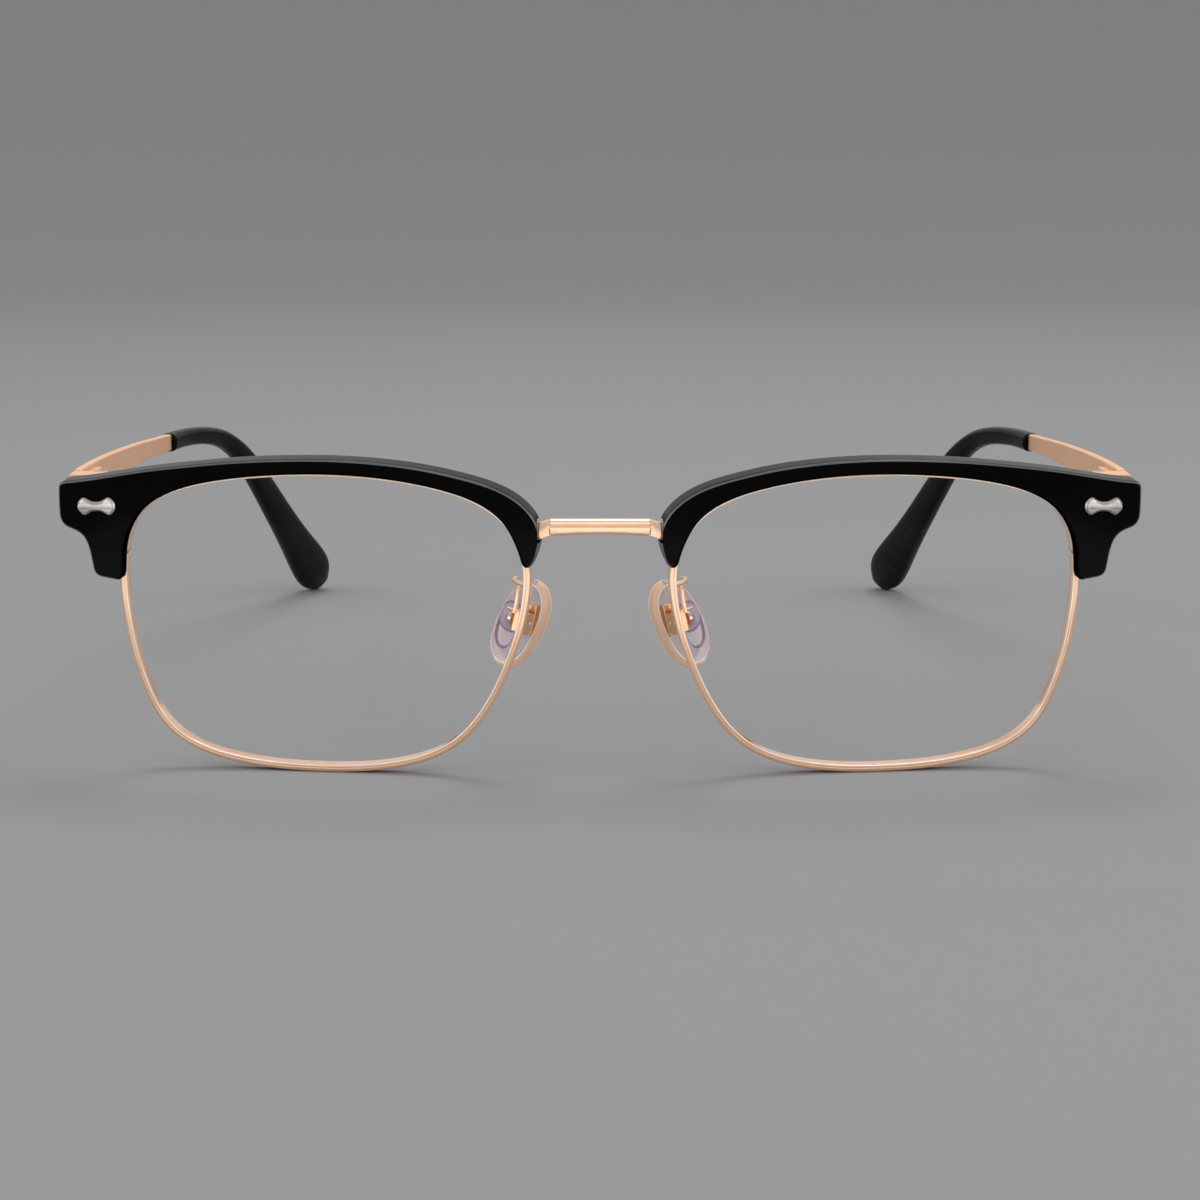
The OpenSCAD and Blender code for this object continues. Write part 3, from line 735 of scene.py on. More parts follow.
def cut(V, F, M, cutters):
    """the solid less each cutter, by exact booleans; M holds each face's zone"""
    ob = temp_object(V, F, M)
    olds = []
    for CV, CF in cutters:
        c = temp_object(CV, CF, [2] * len(CF))
        md = ob.modifiers.new("cut", "BOOLEAN")
        md.operation, md.solver, md.object = "DIFFERENCE", "EXACT", c
        olds.append(c)
    dg = bpy.context.evaluated_depsgraph_get()
    me = bpy.data.meshes.new_from_object(ob.evaluated_get(dg))
    V2 = np.array([v.co for v in me.vertices]) * 1000.0
    F2 = [tuple(p.vertices) for p in me.polygons]
    M2 = [p.material_index for p in me.polygons]
    for o in olds + [ob]:
        d = o.data
        bpy.data.objects.remove(o)
        bpy.data.meshes.remove(d)
    bpy.data.meshes.remove(me)
    return V2, F2, M2


def eye_prism_cutter(s_out=0.0, o_front=LIP, o_back=-6.0, n=330):
    P = resample_closed(eye_line, n)
    Nn = inward(P)
    q = P - s_out * Nn
    b = Build()
    # front and rear caps as concentric rings
    c = A([-1.0, -0.7])
    ks = [1.0, 0.9, 0.75, 0.5, 0.25]
    rings = [on_shell(c + (q - c) * k, o_front) for k in reversed(ks)] + [on_shell(c + (q - c) * k, o_back) for k in ks]
    b.grid(np.stack(rings), closed_j=True, cap0=True, cap1=True)
    return b.get()


def make_brow():
    V, F, M = brow_solid()
    cutters = []
    cutters.append(eye_prism_cutter(0.03, LIP + 0.02))
    # pocket behind the drop for the closing lugs
    cutters.append(bevel_box((-31.75, 2.3, 3.1), (-27.0, 9.5, 10.4), 0.3, 3))
    V, F, M = cut(V, F, M, cutters)
    V = eye(V)
    # notch for the end of the bridge, open to the front, and a deeper slot behind it for the tongue
    V, F, M = cut(V, F, M, [bridge_notch(), bevel_box_part((-11.3, -0.62, 32.5), (-7.9, 3.5, 34.4), 0.1, 2)])
    return both("browpiece", V, F, M_BLACK, FRONT, "black_acetate", "brow", sharp=42, mats=[M_BLACK, M_EDGE_HIGHLIGHT, M_INNER], fmat=M)


# ------------------------------------------------------------------ bridge
def bevel_box_part(lo, hi, r, seg):
    V, F = bevel_box(lo, hi, r, seg)
    return part(V), F


def block_ring(x, g, inset=0.0):
    t = max(0.0, min(1.25, (x - 6.85) / 1.3))
    z0, zf, zt, yb = 33.02 - 0.52 * t, 35.16 - 0.66 * t, 35.17 - 0.40 * t, 0.93
    yf = -1.17
    if g:
        return A([(-7.0, z0 - 0.09), (-7.0, 35.34), (0.97, 35.34), (0.97, z0 - 0.09)])
    yc = yf + max(0.03, (zt - zf) * 1.15)
    r = round_poly([(yf, z0), (yf, zf), (yc, zt), (yb, zt), (yb, z0)], [0.10, 0.05, 0.04, 0.12, 0.12], 4)
    c = r.mean(0)
    d = r - c
    return c + d * (1 - inset / np.maximum(np.linalg.norm(d, axis=1), 0.2))[:, None]


def bridge_block(side=-1):
    """end of the bridge: sits in a notch of the brow's flank, its top front corner cut back more and more"""
    rings = []
    for x, i in [(v, 0.0) for v in np.linspace(6.5, 8.12, 16)] + [(8.17, 0.015), (8.21, 0.05), (8.225, 0.10)]:
        ring = block_ring(x, 0, i)
        rings.append(np.stack([np.full(len(ring), side * x), ring[:, 0], ring[:, 1]], -1))
    b = Build()
    b.grid(np.stack(rings), closed_j=True, cap0=True, cap1=True)
    TV, TF = bevel_box((8.0, -0.55, 32.6), (11.2, 0.85, 34.3), 0.1, 2)
    TV[:, 0] *= side
    b.add(TV, TF)
    V, F = b.get()
    return part(V), F


def bridge_notch():
    rings = []
    for x in (6.2, 6.85, 7.2, 7.6, 8.0, 8.33):
        ring = block_ring(x, 1)
        rings.append(np.stack([np.full(len(ring), -x), ring[:, 0], ring[:, 1]], -1))
    b = Build()
    b.grid(np.stack(rings), closed_j=True, cap0=True, cap1=True)
    V, F = b.get()
    return part(V), F


def bar_section(low=0.0):
    """section of the bar (y, z): soft top, a fine step across the front, lower face leaning out, flat rear"""
    pts = [(-1.00, 32.95 + low), (0.90, 32.92 + low), (0.93, 35.25), (-0.72, 35.30), (-1.20, 34.98), (-1.25, 34.42),
           (-1.16, 34.34), (-1.16, 34.27), (-1.27, 34.19), (-1.38, 33.35 + low)]
    rad = [0.28, 0.22, 0.22, 0.30, 0.18, 0.04, 0.02, 0.02, 0.05, 0.18]
    return round_poly(pts, rad, 5)


def make_bridge():
    b = Build()
    xs = np.concatenate([[-6.74, -6.72, -6.67, -6.59, -6.48], np.linspace(-6.3, 6.3, 41), [6.48, 6.59, 6.67, 6.72, 6.74]])
    rings = []
    for x in xs:
        low = 0.27 * (1 - (abs(x) / 6.74) ** 2)
        r = bar_section(low=low)
        e = max(0.0, abs(x) - 6.48) / 0.26
        k = 1 - 0.10 * (1 - math.sqrt(max(0.0, 1 - e * e)))
        c = A([-0.1, 34.25])
        r = c + (r - c) * k
        rings.append(np.stack([np.full(len(r), x), r[:, 0], r[:, 1]], -1))
    b.grid(np.stack(rings), closed_j=True, cap0=True, cap1=True)
    V, F = b.get()
    V = part(V)
    n = len(V)
    for side in (-1, 1):
        BV, BF = bridge_block(side)
        V = np.vstack([V, BV])
        F = F + [tuple(i + n for i in f) for f in BF]
        n = len(V)
    return to_object("bridge_bar", V, F, M_GOLD, "front", "rose_gold_metal", ["bridge"], sharp=60)


# ------------------------------------------------------------------ plaque
def plaque_outline(n_arc=4):
    """bow-tie outline: chamfered lobes and a smooth waist, clockwise from the left"""
    half = [(0.0, 0.62), (0.5, 0.65), (0.95, 0.81), (1.35, 1.04), (1.72, 1.20), (2.10, 1.10), (2.60, 0.60), (2.74, 0.20)]
    top = [(-x, z) for x, z in reversed(half)] + half[1:]
    bot = [(x, -z) for x, z in reversed(top)]
    return A(top + bot, float)


def make_plaque():
    P = plaque_outline()
    # soft corners on the lobes
    q = resample_closed(round_poly(list(P), [0.10] * len(P), 4), 260)
    q = smooth_closed(q, 0.035)
    Nn = inward(q)
    C = A([-31.65, 14.42])
    rings, H = [], []
    t = 0.64
    turn = math.radians(3.5)
    for s, h in ((0.0, -0.05), (0.0, 0.16), (0.03, 0.21), (0.20, 0.40), (0.225, 0.415)):
        rings.append(q + s * Nn)
        H.append(np.full(len(q), h))
    inner = rings[-1]
    zmax = np.abs(inner[:, 1])
    for k in (0.8, 0.6, 0.4, 0.25, 0.16, 0.10, 0.04, 0.0):
        r = inner.copy()
        r[:, 1] = inner[:, 1] * k
        rings.append(r)
        # roof: height rises with nearness to the ridge, a soft crest
        kk = max(k, 0.06) if k > 0 else 0.05
        H.append(np.interp(np.abs(inner[:, 1]) * kk, [0, 0.10, 0.16, 1.0], [t, t - 0.01, t - 0.045, 0.42]))
    V = []
    for r, h in zip(rings, H):
        w = A([r[:, 0] * math.cos(turn) - r[:, 1] * math.sin(turn), r[:, 0] * math.sin(turn) + r[:, 1] * math.cos(turn)]).T + C
        V.append(np.stack([w[:, 0], R0 - np.sqrt((R0 + BROW_F + h) ** 2 - w[:, 0] ** 2 - w[:, 1] ** 2), w[:, 1]], -1))
    b = Build()
    b.grid(np.stack(V), closed_j=True)
    VV, F = b.get()
    # underside
    n = len(q)
    F.append(tuple(range(n)))
    # weld the ridge
    me = bpy.data.meshes.new("t")
    me.from_pydata([tuple(v) for v in VV], [], F)
    bm = bmesh.new()
    bm.from_mesh(me)
    bmesh.ops.remove_doubles(bm, verts=bm.verts, dist=0.004)
    bmesh.ops.dissolve_degenerate(bm, edges=bm.edges, dist=0.0005)
    bm.to_mesh(me)
    bm.free()
    VV = A([v.co for v in me.vertices])
    F = [tuple(p.vertices) for p in me.polygons]
    bpy.data.meshes.remove(me)
    return both("plaque", eye(VV), F, M_SILVER, FRONT, "brushed_silver", "brow_plaque", sharp=12)


# ------------------------------------------------------------------ temple tips
TIP = A([
    [-70.6, 84, 34.95, 2.9, 3, 0], [-69.4, 90, 34.95, 2.9, 2.9, 0], [-67.2, 97, 34.55, 2.9, 2.9, 3],
    [-65.1, 103.5, 33.35, 2.9, 3.1, 6], [-63.2, 108.5, 31, 2.9, 3.4, 9], [-61.5, 113.5, 27.5, 3, 3.9, 12],
    [-59.75, 119.5, 22.5, 3.1, 4.6, 16], [-57.9, 126, 16.8, 3.3, 5.2, 20], [-56, 132.5, 11.1, 3.5, 6.1, 24],
    [-54.4, 137.5, 6.6, 3.8, 7.3, 27], [-53.4, 141, 3.6, 3.7, 7.2, 28], [-52.8, 143.1, 1.5, 2.4, 4.3, 28]], float)


def sweep_ring(q, d, n, e, sx=1.0, sz=1.0):
    h = A([d[0], d[1], 0.0])
    h /= np.linalg.norm(h)
    n0 = A([h[1], -h[0], 0.0])
    u = d / np.linalg.norm(d)
    w0 = np.cross(n0, u)
    if w0[2] < 0:
        w0 = -w0
    tw = math.radians(q[5])
    nn = math.cos(tw) * n0 - math.sin(tw) * w0
    ww = math.cos(tw) * w0 + math.sin(tw) * n0
    a = -2 * math.pi * (np.arange(n) + 0.5) / n
    ca, sa = np.cos(a), np.sin(a)
    X = np.sign(ca) * np.abs(ca) ** e * q[3] / 2 * sx
    Z = np.sign(sa) * np.abs(sa) ** e * q[4] / 2 * sz
    return q[:3] + X[:, None] * nn + Z[:, None] * ww


def bd(a, b, c, d, t):
    return (-(1 - t) ** 2 * a + (3 * t * t - 4 * t) * b + (-3 * t * t + 2 * t + 1) * c + t * t * d) / 2


def swept(stations, m, n, e):
    c = open_ctl(stations)
    rings, ds, qs = [], [], []
    k = len(stations)
    for i in range(k - 1):
        for j in range(m + (1 if i == k - 2 else 0)):
            t = j / m
            q = bs(c[i], c[i + 1], c[i + 2], c[i + 3], t)
            d = bd(c[i], c[i + 1], c[i + 2], c[i + 3], t)[:3]
            rings.append(sweep_ring(q, d, n, e))
            ds.append(d)
            qs.append(q)
    return rings, qs, ds


def make_tip():
    e = 0.80
    n = 48
    rings, qs, ds = swept(TIP, 8, n, e)
    # mouth of the sleeve: a small rounded lip, then the bore round the blade
    q0, d0 = qs[0], ds[0]
    u0 = d0 / np.linalg.norm(d0)
    first = rings[0]
    c0 = q0[:3]
    mouth = []
    mouth.append(c0 + (first - c0) * 0.42 + u0 * 1.6)
    mouth.append(c0 + (first - c0) * 0.50 + u0 * 0.25)
    mouth.append(c0 + (first - c0) * 0.56 + u0 * 0.02)
    mouth.append(c0 + (first - c0) * 0.78)
    mouth.append(c0 + (first - c0) * 0.92 + u0 * 0.02)
    mouth.append(c0 + (first - c0) * 0.985 + u0 * 0.12)
    rings[0] = c0 + (first - c0) * 1.0 + u0 * 0.32
    # rounded end
    qe, de = qs[-1], ds[-1]
    ue = de / np.linalg.norm(de)
    last = rings[-1]
    ce = qe[:3]
    end = []
    for t in (0.25, 0.45, 0.62, 0.76, 0.88, 0.96):
        k = math.sqrt(max(0.0, 1 - t * t))
        end.append(ce + (last - ce) * k + ue * t * 0.7)
    allr = mouth + rings + end
    b = Build()
    b.grid(np.stack(allr), closed_j=True, cap0=True, cap1=True)
    V, F = b.get()
    V = part(V)
    V[:, 2] = np.maximum(V[:, 2], 0.02)
    return both("tip_sleeve", V, F, M_TIP, TEMPLE, "black_tip", "temple_tip")


# ------------------------------------------------------------------ temple blade
SPLAY, BX, HX, HY = 0.65, -70.9, -68.6, 14.0
K0, K1, K2, K3 = 35.3, 36.75, 38.15, 39.3
BLADE_TOP = A([[13.4, 40.1], [22, 40], [33, 39.6], [45.5, 38.95], [58.5, 38.15], [72, 37.15], [84, 36.3]], float)
BLADE_LOW = A([[84, 33.7], [72, 34.45], [58, 35.15], [47, 35.5], [36, 35.7], [25, 35.6], [13.4, 35.3]], float)


def blade_frame(V):
    V = A(V, float) + A([0, -HY, 0])
    return rot(V, "z", -SPLAY) + A([BX, HY, 0])


def make_temple():
    top = open_curve(BLADE_TOP, 12)
    low = open_curve(BLADE_LOW, 12)[::-1]
    ys = np.concatenate([[13.42, 13.46, 13.54, 13.66], np.linspace(13.9, 83.2, 70), [83.6, 83.9, 84.05]])
    zt = np.interp(ys, top[:, 0], top[:, 1])
    zl = np.interp(ys, low[:, 0], low[:, 1])
    rings = []
    for i, y in enumerate(ys):
        e = max(0.0, (13.66 - y) / 0.24)
        k = 0.16 * (1 - math.sqrt(max(0.0, 1 - e * e)))
        r = round_poly([(-1.2 + k, zl[i] + k), (0.0 - k, zl[i] + k), (0.0 - k, zt[i] - k), (-1.2 + k, zt[i] - k)], [0.28, 0.24, 0.24, 0.28], 4)
        rings.append(np.stack([r[:, 0], np.full(len(r), y), r[:, 1]], -1))
    # the blade narrows into the sleeve
    last = rings[-1]
    c = last.mean(0)
    rings.append(c + (last - c) * A([0.8, 1, 0.8]) + A([0, 0.9, 0]))
    b = Build()
    b.grid(np.stack(rings), closed_j=True, cap0=True, cap1=True)
    V, F = b.get()
    V = blade_frame(V)
    n = len(V)
    # hinge leaf, riveted to the inner face
    LV, LF = bevel_box((-0.15, 15.5, 35.9), (0.8, 22.5, 39.2), 0.22, 3)
    LV = blade_frame(LV)
    V = np.vstack([V, LV]); F += [tuple(i + n for i in f) for f in LF]; n = len(V)
    for yy in (17.6, 20.7):
        RV, RF = dome_head(0.62, 0.22, 24)
        RV = np.stack([0.78 + RV[:, 2], yy + RV[:, 0], 37.55 + RV[:, 1]], -1)
        RV = blade_frame(RV)
        V = np.vstack([V, RV]); F += [tuple(i + n for i in f) for f in RF]; n = len(V)
    NV, NF = bevel_box((BX - 0.1, 13.55, K1 + 0.05), (-68.75, 16.0, K2 - 0.05), 0.18, 3)
    V = np.vstack([V, NV]); F += [tuple(i + n for i in f) for f in NF]; n = len(V)
    KV, KF = knuckle(1.3, 0.73, K1 + 0.01, K2 - 0.01)
    V = np.vstack([V, KV]); F += [tuple(i + n for i in f) for f in KF]
    return both("temple_blade", part(V), F, M_SATIN, TEMPLE, "rose_gold_satin", "temple", sharp=50)


def dome_head(r, h, n=24):
    rings = []
    for rr, zz in ((r, -0.1), (r, 0.02), (r * 0.97, h * 0.35), (r * 0.85, h * 0.68), (r * 0.6, h * 0.9), (r * 0.3, h * 0.99), (0.02, h)):
        a = 2 * math.pi * np.arange(n) / n
        rings.append(np.stack([rr * np.cos(a), rr * np.sin(a), np.full(n, zz)], -1))
    b = Build()
    b.grid(np.stack(rings), closed_j=True, cap0=True, cap1=True)
    return b.get()


def knuckle(r, bore, z0, z1, n=40):
    """barrel with rounded rims and a bore, about the hinge axis"""
    prof = round_poly([(bore, z0), (r, z0), (r, z1), (bore, z1)], [0.05, 0.14, 0.14, 0.05], 3)
    a = 2 * math.pi * np.arange(n) / n
    G = np.stack([np.stack([HX + p[0] * np.cos(a), HY + p[0] * np.sin(a), np.full(n, p[1])], -1) for p in prof])
    b = Build()
    b.grid(G, closed_i=True, closed_j=True)
    return b.get()


# ------------------------------------------------------------------ nose pads
PC = A([-10.8, 7.5, 19.6])
PL = A([0.42, -0.07, 0.9]); PL = PL / np.linalg.norm(PL)
PN = A([0.6, 0.8, 0.0]); PN = PN - PN.dot(PL) * PL; PN /= np.linalg.norm(PN)
PW = np.cross(PL, PN)
BL = A([0.15, -0.07, 0.98]); BL = BL - BL.dot(PN) * PN; BL /= np.linalg.norm(BL)
BW = np.cross(BL, PN)
BC = PC - 1.6 * BW + 0.7 * BL
AXD = -2.6


def pad_frame(V):
    V = A(V, float)
    return PC + V[:, 0:1] * PW + V[:, 1:2] * PL + V[:, 2:3] * PN


def box_frame(V):
    V = A(V, float)
    return BC + V[:, 0:1] * BW + V[:, 1:2] * BL + V[:, 2:3] * PN


def pad_ring(z, s, n):
    a = 2 * math.pi * (np.arange(n) + 0.5) / n
    sa = np.sin(a)
    w = 7.4 / 2 * s
    l = 13.0 / 2 - 7.4 / 2 * (1 - s)
    return np.stack([w * np.cos(a), l * np.sign(sa) * np.abs(sa) ** 0.75, np.full(n, z)], -1)


def step(x, a, b):
    t = np.clip((x - a) / (b - a), 0, 1)
    return t * t * (3 - 2 * t)


def pad_back(w, l):
    """height of the pad's rear: a shallow oval dish low on the temple side, and a round boss over the insert"""
    e = np.sqrt((np.abs(w - 1.15 - 0.16 * (l + 2)) / 1.55) ** 2.2 + (np.abs(l + 1.6) / 2.6) ** 2.2)
    dish = 1 - step(e, 0.84, 1.0)
    d = np.hypot(w - 1.2, l - 0.45)
    boss = 1 - step(d, 1.90, 2.15)
    z = -1.10 + 0.34 * dish
    return z * (1 - boss) + (-1.26 - 0.16 * (1 - np.clip(d / 1.9, 0, 1) ** 2)) * boss


def make_pad():
    n = 128
    # rear field, crease, rounded border, side wall, crowned contact face
    back = list(np.linspace(0.0, 0.79, 34))
    prof = [(-1.12, 0.80), (-1.17, 0.812), (-1.18, 0.83), (-1.14, 0.85), (-1.02, 0.905), (-0.86, 0.955), (-0.66, 0.985), (-0.45, 0.998),
            (-0.2, 1.0), (0.15, 1.0), (0.42, 0.99), (0.66, 0.955), (0.86, 0.88), (1.02, 0.76), (1.12, 0.60), (1.17, 0.42), (1.19, 0.22)]
    outer = pad_ring(0.0, 0.79, n)
    rings = []
    for q0 in back[1:]:
        q = outer * (q0 / 0.79)
        q[:, 2] = pad_back(q[:, 0], q[:, 1])
        rings.append(q)
    nb = len(rings)
    for z, q0 in prof:
        rings.append(pad_ring(z, q0, n))
    b = Build()
    G = np.stack(rings)
    b.grid(G, closed_j=True)
    V, F = b.get()
    m = len(rings)
    M = []
    for i in range(m - 1):
        for j in range(n):
            q = [G[i, j], G[i + 1, j], G[i + 1, (j + 1) % n], G[i, (j + 1) % n]]
            c = np.mean(q, 0)
            if i < nb - 1:
                u, v = q[2] - q[0], q[3] - q[1]
                nn = np.cross(u, v)
                # steep dish walls take zone 4, the dark violet painted shade
                steep = np.hypot(nn[0], nn[1]) > 0.30 * abs(nn[2])
                # faces within the boss's circle take zone 6, the darker violet painted shade
                rd = math.hypot(c[0] - 1.2, c[1] - 0.45)
                M.append(4 if steep else (6 if rd < 1.92 else (5 if c[2] > -0.9 else 0)))
            elif i < nb + 3:
                M.append(3 if c[0] < 0.8 else 2)
            elif i < nb + 7:
                M.append(1 if c[0] < 0.0 else 0)
            elif i < nb + 9:
                M.append(1 if c[0] < 0.0 else 2)
            elif i < nb + 10:
                M.append(3 if c[0] < 0.0 else 2)
            elif i < nb + 13:
                M.append(1 if c[0] < 0.0 else 2)
            else:
                M.append(0)
    c0 = len(V)
    V = np.vstack([V, [[0, 0, float(pad_back(A([0.0]), A([0.0]))[0])]], [[0, 0, 1.195]]])
    F += [(j, (j + 1) % n, c0) for j in range(n)]
    F += [((m - 1) * n + (j + 1) % n, (m - 1) * n + j, c0 + 1) for j in range(n)]
    M += [0] * (2 * n)
    return both("nose_pad_clear", part(pad_frame(V)), F, M_PAD, PAD, "clear_pad", "nose_pad",
                mats=[M_PAD, M_PAD_NOSE, M_PAD_SIDE, M_PAD_LINE, M_PAD_PAINTED_SHADE, M_PAD_DISH, M_PAD_BOSS_SHADE], fmat=M)


ARM = A([[-10.1, 0.76, 26.15], [-10.75, 1.45, 26.3], [-11.45, 2.4, 26.4], [-11.45, 3.4, 26.5], [-11.1, 4.1, 26.35],
         [-10.95, 4.4, 25.6], [-11.05, 4.3, 24.5], [-11.2, 4.08, 23.4], [-11.4, 3.86, 22.5], [-11.55, 3.75, 21.8]], float)


def wire(pts, r, n=20, m=8, radii=None):
    c = open_ctl(pts)
    P, D = [], []
    for i in range(len(pts) - 1):
        for j in range(m + (1 if i == len(pts) - 2 else 0)):
            P.append(bs(c[i], c[i + 1], c[i + 2], c[i + 3], j / m))
            D.append(bd(c[i], c[i + 1], c[i + 2], c[i + 3], j / m))
    P, D = A(P), A(D)
    D /= np.linalg.norm(D, axis=1)[:, None]
    # parallel transport
    x = np.cross(D[0], A([0.3, 0.2, 1.0]))
    x /= np.linalg.norm(x)
    rings = []
    a = 2 * math.pi * np.arange(n) / n
    for k in range(len(P)):
        x = x - x.dot(D[k]) * D[k]
        x /= np.linalg.norm(x)
        y = np.cross(D[k], x)
        rr = r if radii is None else radii(k / (len(P) - 1)) * r
        rings.append(P[k] + rr * (np.cos(a)[:, None] * x + np.sin(a)[:, None] * y))
    b = Build()
    b.grid(np.stack(rings), closed_j=True, cap0=True, cap1=True)
    return b.get()


def make_arm():
    b = Build()
    foot = A([[-9.7, 0.35, 26.0]])
    V, F = wire(np.vstack([foot, ARM]), 0.36, radii=lambda t: 1.0 + 0.7 * math.exp(-(t / 0.06) ** 2))
    b.add(V, F)
    # folded box that takes the pad's tongue: base and two cheeks
    out = [(-1.6, -1.35), (0.45, -1.35), (1.15, -0.62), (1.15, 0.55), (0.75, 0.55), (0.75, -0.88), (-0.75, -0.88), (-0.75, 0.55), (-1.6, 0.55)]
    sec = round_poly(out, [0.22, 0.2, 0.2, 0.14, 0.14, 0.04, 0.04, 0.2, 0.2], 4)
    G = np.stack([np.stack([[c + (p[0] - c) * k, l, AXD + d + (p[1] - d) * k] for p in sec])
                  for l, k in ((-1.4, 0.96), (-1.36, 0.99), (-1.28, 1.0), (1.28, 1.0), (1.36, 0.99), (1.4, 0.96)) for c, d in ((-0.2, -0.7),)])
    R = Build()
    R.grid(G, closed_j=True, cap0=True, cap1=True)
    RV, RF = R.get()
    b.add(box_frame(RV), RF)
    # lip along the top of the box
    BV, BF = bevel_box((-0.6, 1.32, AXD - 1.40), (1.85, 1.62, AXD - 0.62), 0.1, 3)
    b.add(box_frame(BV), BF)
    # turned washer face under the screw head
    n = 40
    a = 2 * math.pi * np.arange(n) / n
    prof = [(1.24, 0.95), (1.24, 1.08), (1.20, 1.14), (1.14, 1.15), (1.05, 1.12), (0.80, 1.12)]
    G = np.stack([np.stack([np.full(n, w), r * np.cos(a), AXD + r * np.sin(a)], -1) for r, w in prof])
    R = Build()
    R.grid(G, closed_j=True, cap0=True, cap1=True)
    RV, RF = R.get()
    b.add(box_frame(RV), RF)
    V, F2 = b.get()
    # the box and washer faces take the darker rose gold, painted shade
    return both("pad_wire", part(V), F2, M_GOLD, FRONT, "rose_gold_metal", "pad_arm", sharp=60,
                mats=[M_GOLD, M_BOX_SHADED], fmat=[0] * len(F) + [1] * (len(F2) - len(F)))


def make_insert():
    b = Build()
    BV, BF = bevel_box((-1.32, -1.75, -1.62), (0.93, 2.6, -0.40), 0.16, 3)
    b.add(box_frame(BV), BF)
    BV, BF = bevel_box((-0.69, -0.8, AXD), (0.69, 0.8, -1.1), 0.1, 2)
    b.add(box_frame(BV), BF)
    n = 32
    a = 2 * math.pi * np.arange(n) / n
    prof = round_poly([(0.43, -0.69), (0.8, -0.69), (0.8, 0.69), (0.43, 0.69)], [0.03, 0.1, 0.1, 0.03], 3)
    G = np.stack([np.stack([np.full(n, p[1]), p[0] * np.cos(a), AXD + p[0] * np.sin(a)], -1) for p in prof])
    b.grid(box_frame(G.reshape(-1, 3)).reshape(G.shape), closed_i=True, closed_j=True)
    V, F = b.get()
    return both("pad_socket", part(V), F, M_INSERT_SHADED, PAD, "rose_gold_metal", "pad_insert", sharp=60)


def make_pad_screw():
    """pan head with a driver slot, and its shank through the box"""
    n, R, H = 96, 1.10, 1.12
    rs = R * np.concatenate([np.linspace(0.0, 0.97, 36)[1:], [0.985, 0.995, 1.0]])
    a = 2 * math.pi * (np.arange(n) + 0.5) / n
    rings = []
    for r in rs:
        x, y = r * np.cos(a), r * np.sin(a)
        h = H * math.sqrt(max(0.0, 1 - (r / R) ** 2.1))
        z = np.full(n, h) - 0.22 * (1 - step(np.abs(y), 0.10, 0.15)) * (r < 0.62)
        rings.append(np.stack([1.27 + z, x, AXD + y], -1))
    rings.append(rings[-1] * A([0, 1, 1]) + A([1.20, 0, 0]))
    for w, r in ((1.20, 0.38), (-1.60, 0.38), (-1.66, 0.32)):
        rings.append(np.stack([np.full(n, w), r * np.cos(a), AXD + r * np.sin(a)], -1))
    b = Build()
    b.grid(np.stack(rings), closed_j=True, cap0=True, cap1=True)
    V, F = b.get()
    return both("pad_screw_pan", part(box_frame(V)), F, M_BALL, FRONT, "steel_screw", "pad_screw", sharp=50)


make_rim()
make_lens()
make_brow()
make_bridge()
make_plaque()
make_temple()
make_tip()
make_pad()
make_arm()
make_insert()
make_pad_screw()

# ------------------------------------------------------------------ hardware kept from the CAD
for side in ("right", "left"):
    for nm, mt, w in (("end_piece_", M_SATIN, 0.16), ("closing_screw_", M_STEEL, 0.05), ("hinge_screw_", M_STEEL, 0.07),
                      ("brow_screw_", M_STEEL, 0.06)):
        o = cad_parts[nm + side]
        o.data.materials.clear()
        o.data.materials.append(mt)
        bv = o.modifiers.new("Bevel", "BEVEL")
        bv.width = w * 0.001
        bv.segments = 3
        bv.limit_method = "ANGLE"
        bv.angle_limit = math.radians(40)
        bv.harden_normals = False
        wn = o.modifiers.new("Weighted", "WEIGHTED_NORMAL")
        wn.keep_sharp = True

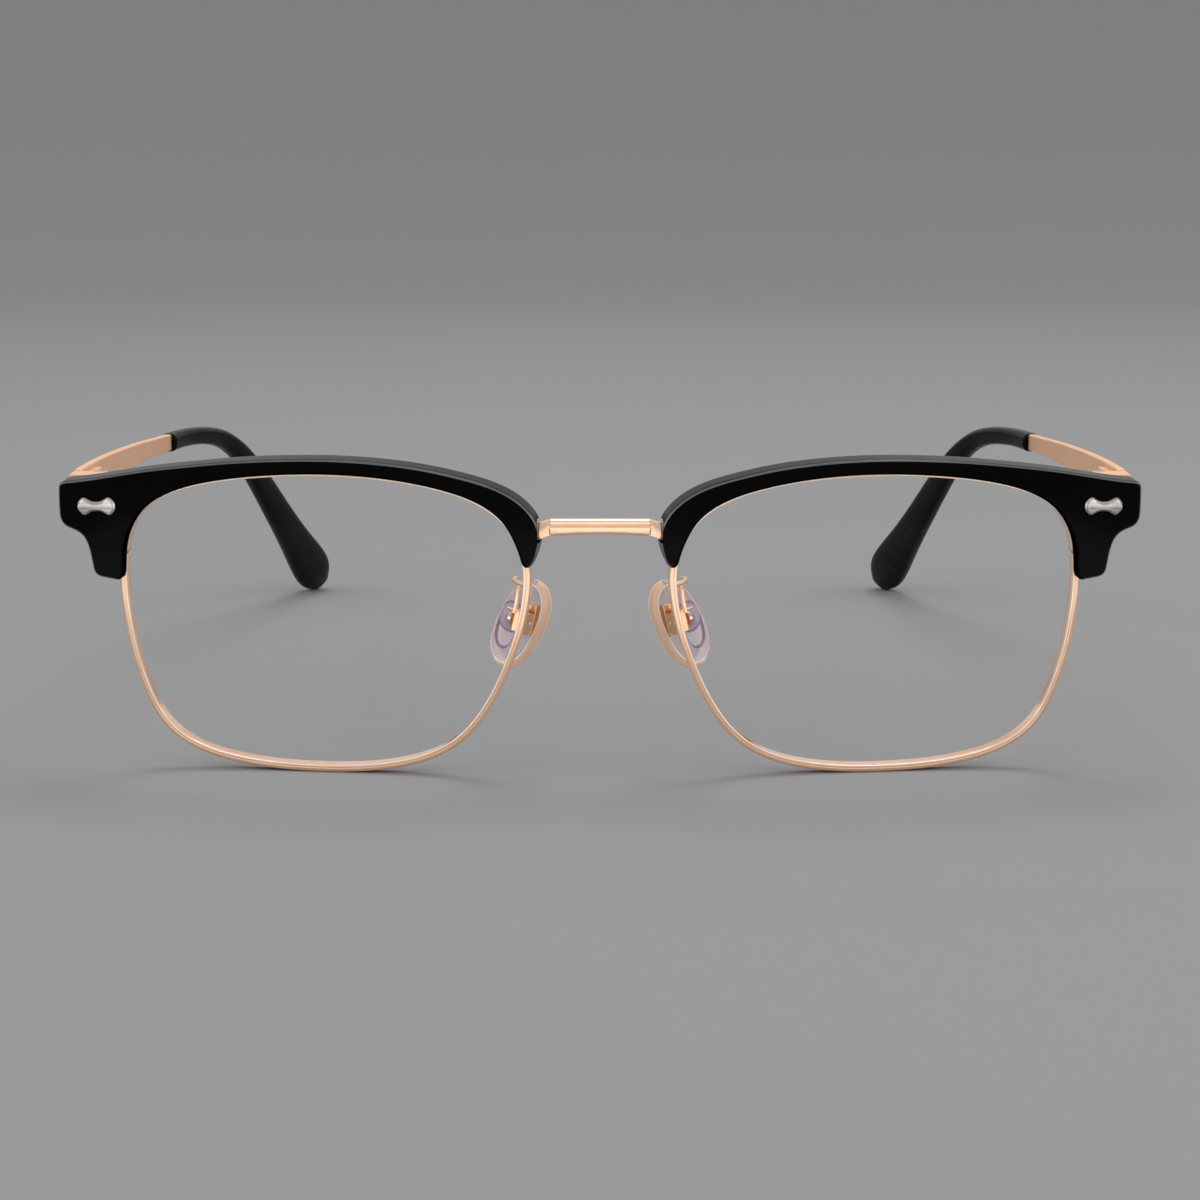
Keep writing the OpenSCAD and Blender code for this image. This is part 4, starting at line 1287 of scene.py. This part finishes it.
# ------------------------------------------------------------------ floor and light
def floor():
    m, nt, out = new_mat("paper_floor")
    L = nt.links.new
    co = N(nt, "ShaderNodeTexCoord").outputs["Object"]
    p = N(nt, "ShaderNodeBsdfPrincipled")
    sep = N(nt, "ShaderNodeSeparateXYZ")
    L(co, sep.inputs[0])
    # base colour lighter up the sweep's wall: painted light making up for the lamps falling off there
    up = remap(nt, sep.outputs["Z"], 0.2, 0.6, 0.0, 1.0)
    L(ramp(nt, up, [(0.0, (0.318, 0.318, 0.321)), (1.0, (0.52, 0.52, 0.523))]), p.inputs["Base Color"])
    L(bump(nt, noise(nt, co, 900, 3, 0.6), 0.15, 0.00004), p.inputs["Normal"])
    p.inputs["Roughness"].default_value = 0.7
    p.inputs["Specular IOR Level"].default_value = 0.0
    L(p.outputs[0], out.inputs["Surface"])
    # seamless sweep all round, seen the same from every side
    prof = [(0.0, 0.0), (0.05, 0), (0.15, 0), (0.3, 0), (0.6, 0), (0.9, 0)]
    for t in np.linspace(0, 1, 17)[1:]:
        a = t * math.radians(70)
        prof.append((0.9 + 0.9 * math.sin(a), 0.9 * (1 - math.cos(a))))
    prof.append((2.0, 1.2))
    n = 96
    a = 2 * math.pi * np.arange(n) / n
    V, F = [(0, 0, 0)], []
    for r, z in prof[1:]:
        V += [(r * math.cos(x), r * math.sin(x), z) for x in a]
    F += [(0, 1 + j, 1 + (j + 1) % n) for j in range(n)]
    for i in range(len(prof) - 2):
        for j in range(n):
            F.append((1 + i * n + j, 1 + (i + 1) * n + j, 1 + (i + 1) * n + (j + 1) % n, 1 + i * n + (j + 1) % n))
    me = bpy.data.meshes.new("floor")
    me.from_pydata(V, [], F)
    me.materials.append(m)
    for q in me.polygons:
        q.use_smooth = True
    ob = bpy.data.objects.new("floor", me)
    COLL.objects.link(ob)


def area(name, loc, target, size, size_y, radiance, diffuse=True, glossy=True):
    d = bpy.data.lights.new(name, "AREA")
    d.shape = "RECTANGLE"
    d.size, d.size_y = size, size_y
    d.energy = radiance * math.pi * size * size_y
    o = bpy.data.objects.new(name, d)
    COLL.objects.link(o)
    o.location = loc
    o.rotation_euler = (Vector(target) - Vector(loc)).to_track_quat("-Z", "Y").to_euler()
    o.visible_camera = False
    o.visible_diffuse = diffuse
    o.visible_glossy = glossy
    return o


floor()
area("key", (0.10, 0.35, 0.90), (0, -0.02, 0), 0.50, 0.36, 4.6)
area("front", (0, -1.15, 0.36), (0, -0.05, 0.03), 2.4, 0.74, 1.25, diffuse=False)
area("fill_front", (0, -1.15, 0.85), (0, -0.05, 0.03), 2.4, 0.6, 1.16, glossy=False)
area("fill_left", (-1.05, -0.30, 0.75), (0, -0.05, 0.02), 0.9, 0.6, 1.25, glossy=False)
area("fill_right", (1.05, -0.30, 0.75), (0, -0.05, 0.02), 0.9, 0.6, 1.25, glossy=False)
area("back", (0, 1.25, 0.30), (0, 0, 0.03), 2.4, 0.56, 0.36, diffuse=False)
area("card", (0, -0.146, 0.003), (0, -0.12, 0.2), 0.34, 0.125, 1.15)
area("left", (-1.05, -0.30, 0.32), (0, -0.05, 0.02), 0.9, 0.6, 1.95, diffuse=False)
area("right", (1.05, -0.30, 0.32), (0, -0.05, 0.02), 0.9, 0.6, 1.95, diffuse=False)

w = bpy.data.worlds.new("World")
sc.world = w
w.use_nodes = True
w.node_tree.nodes["Background"].inputs[0].default_value = (0.93, 0.93, 0.935, 1)
w.node_tree.nodes["Background"].inputs[1].default_value = 0.72
sc.view_settings.view_transform = "Standard"
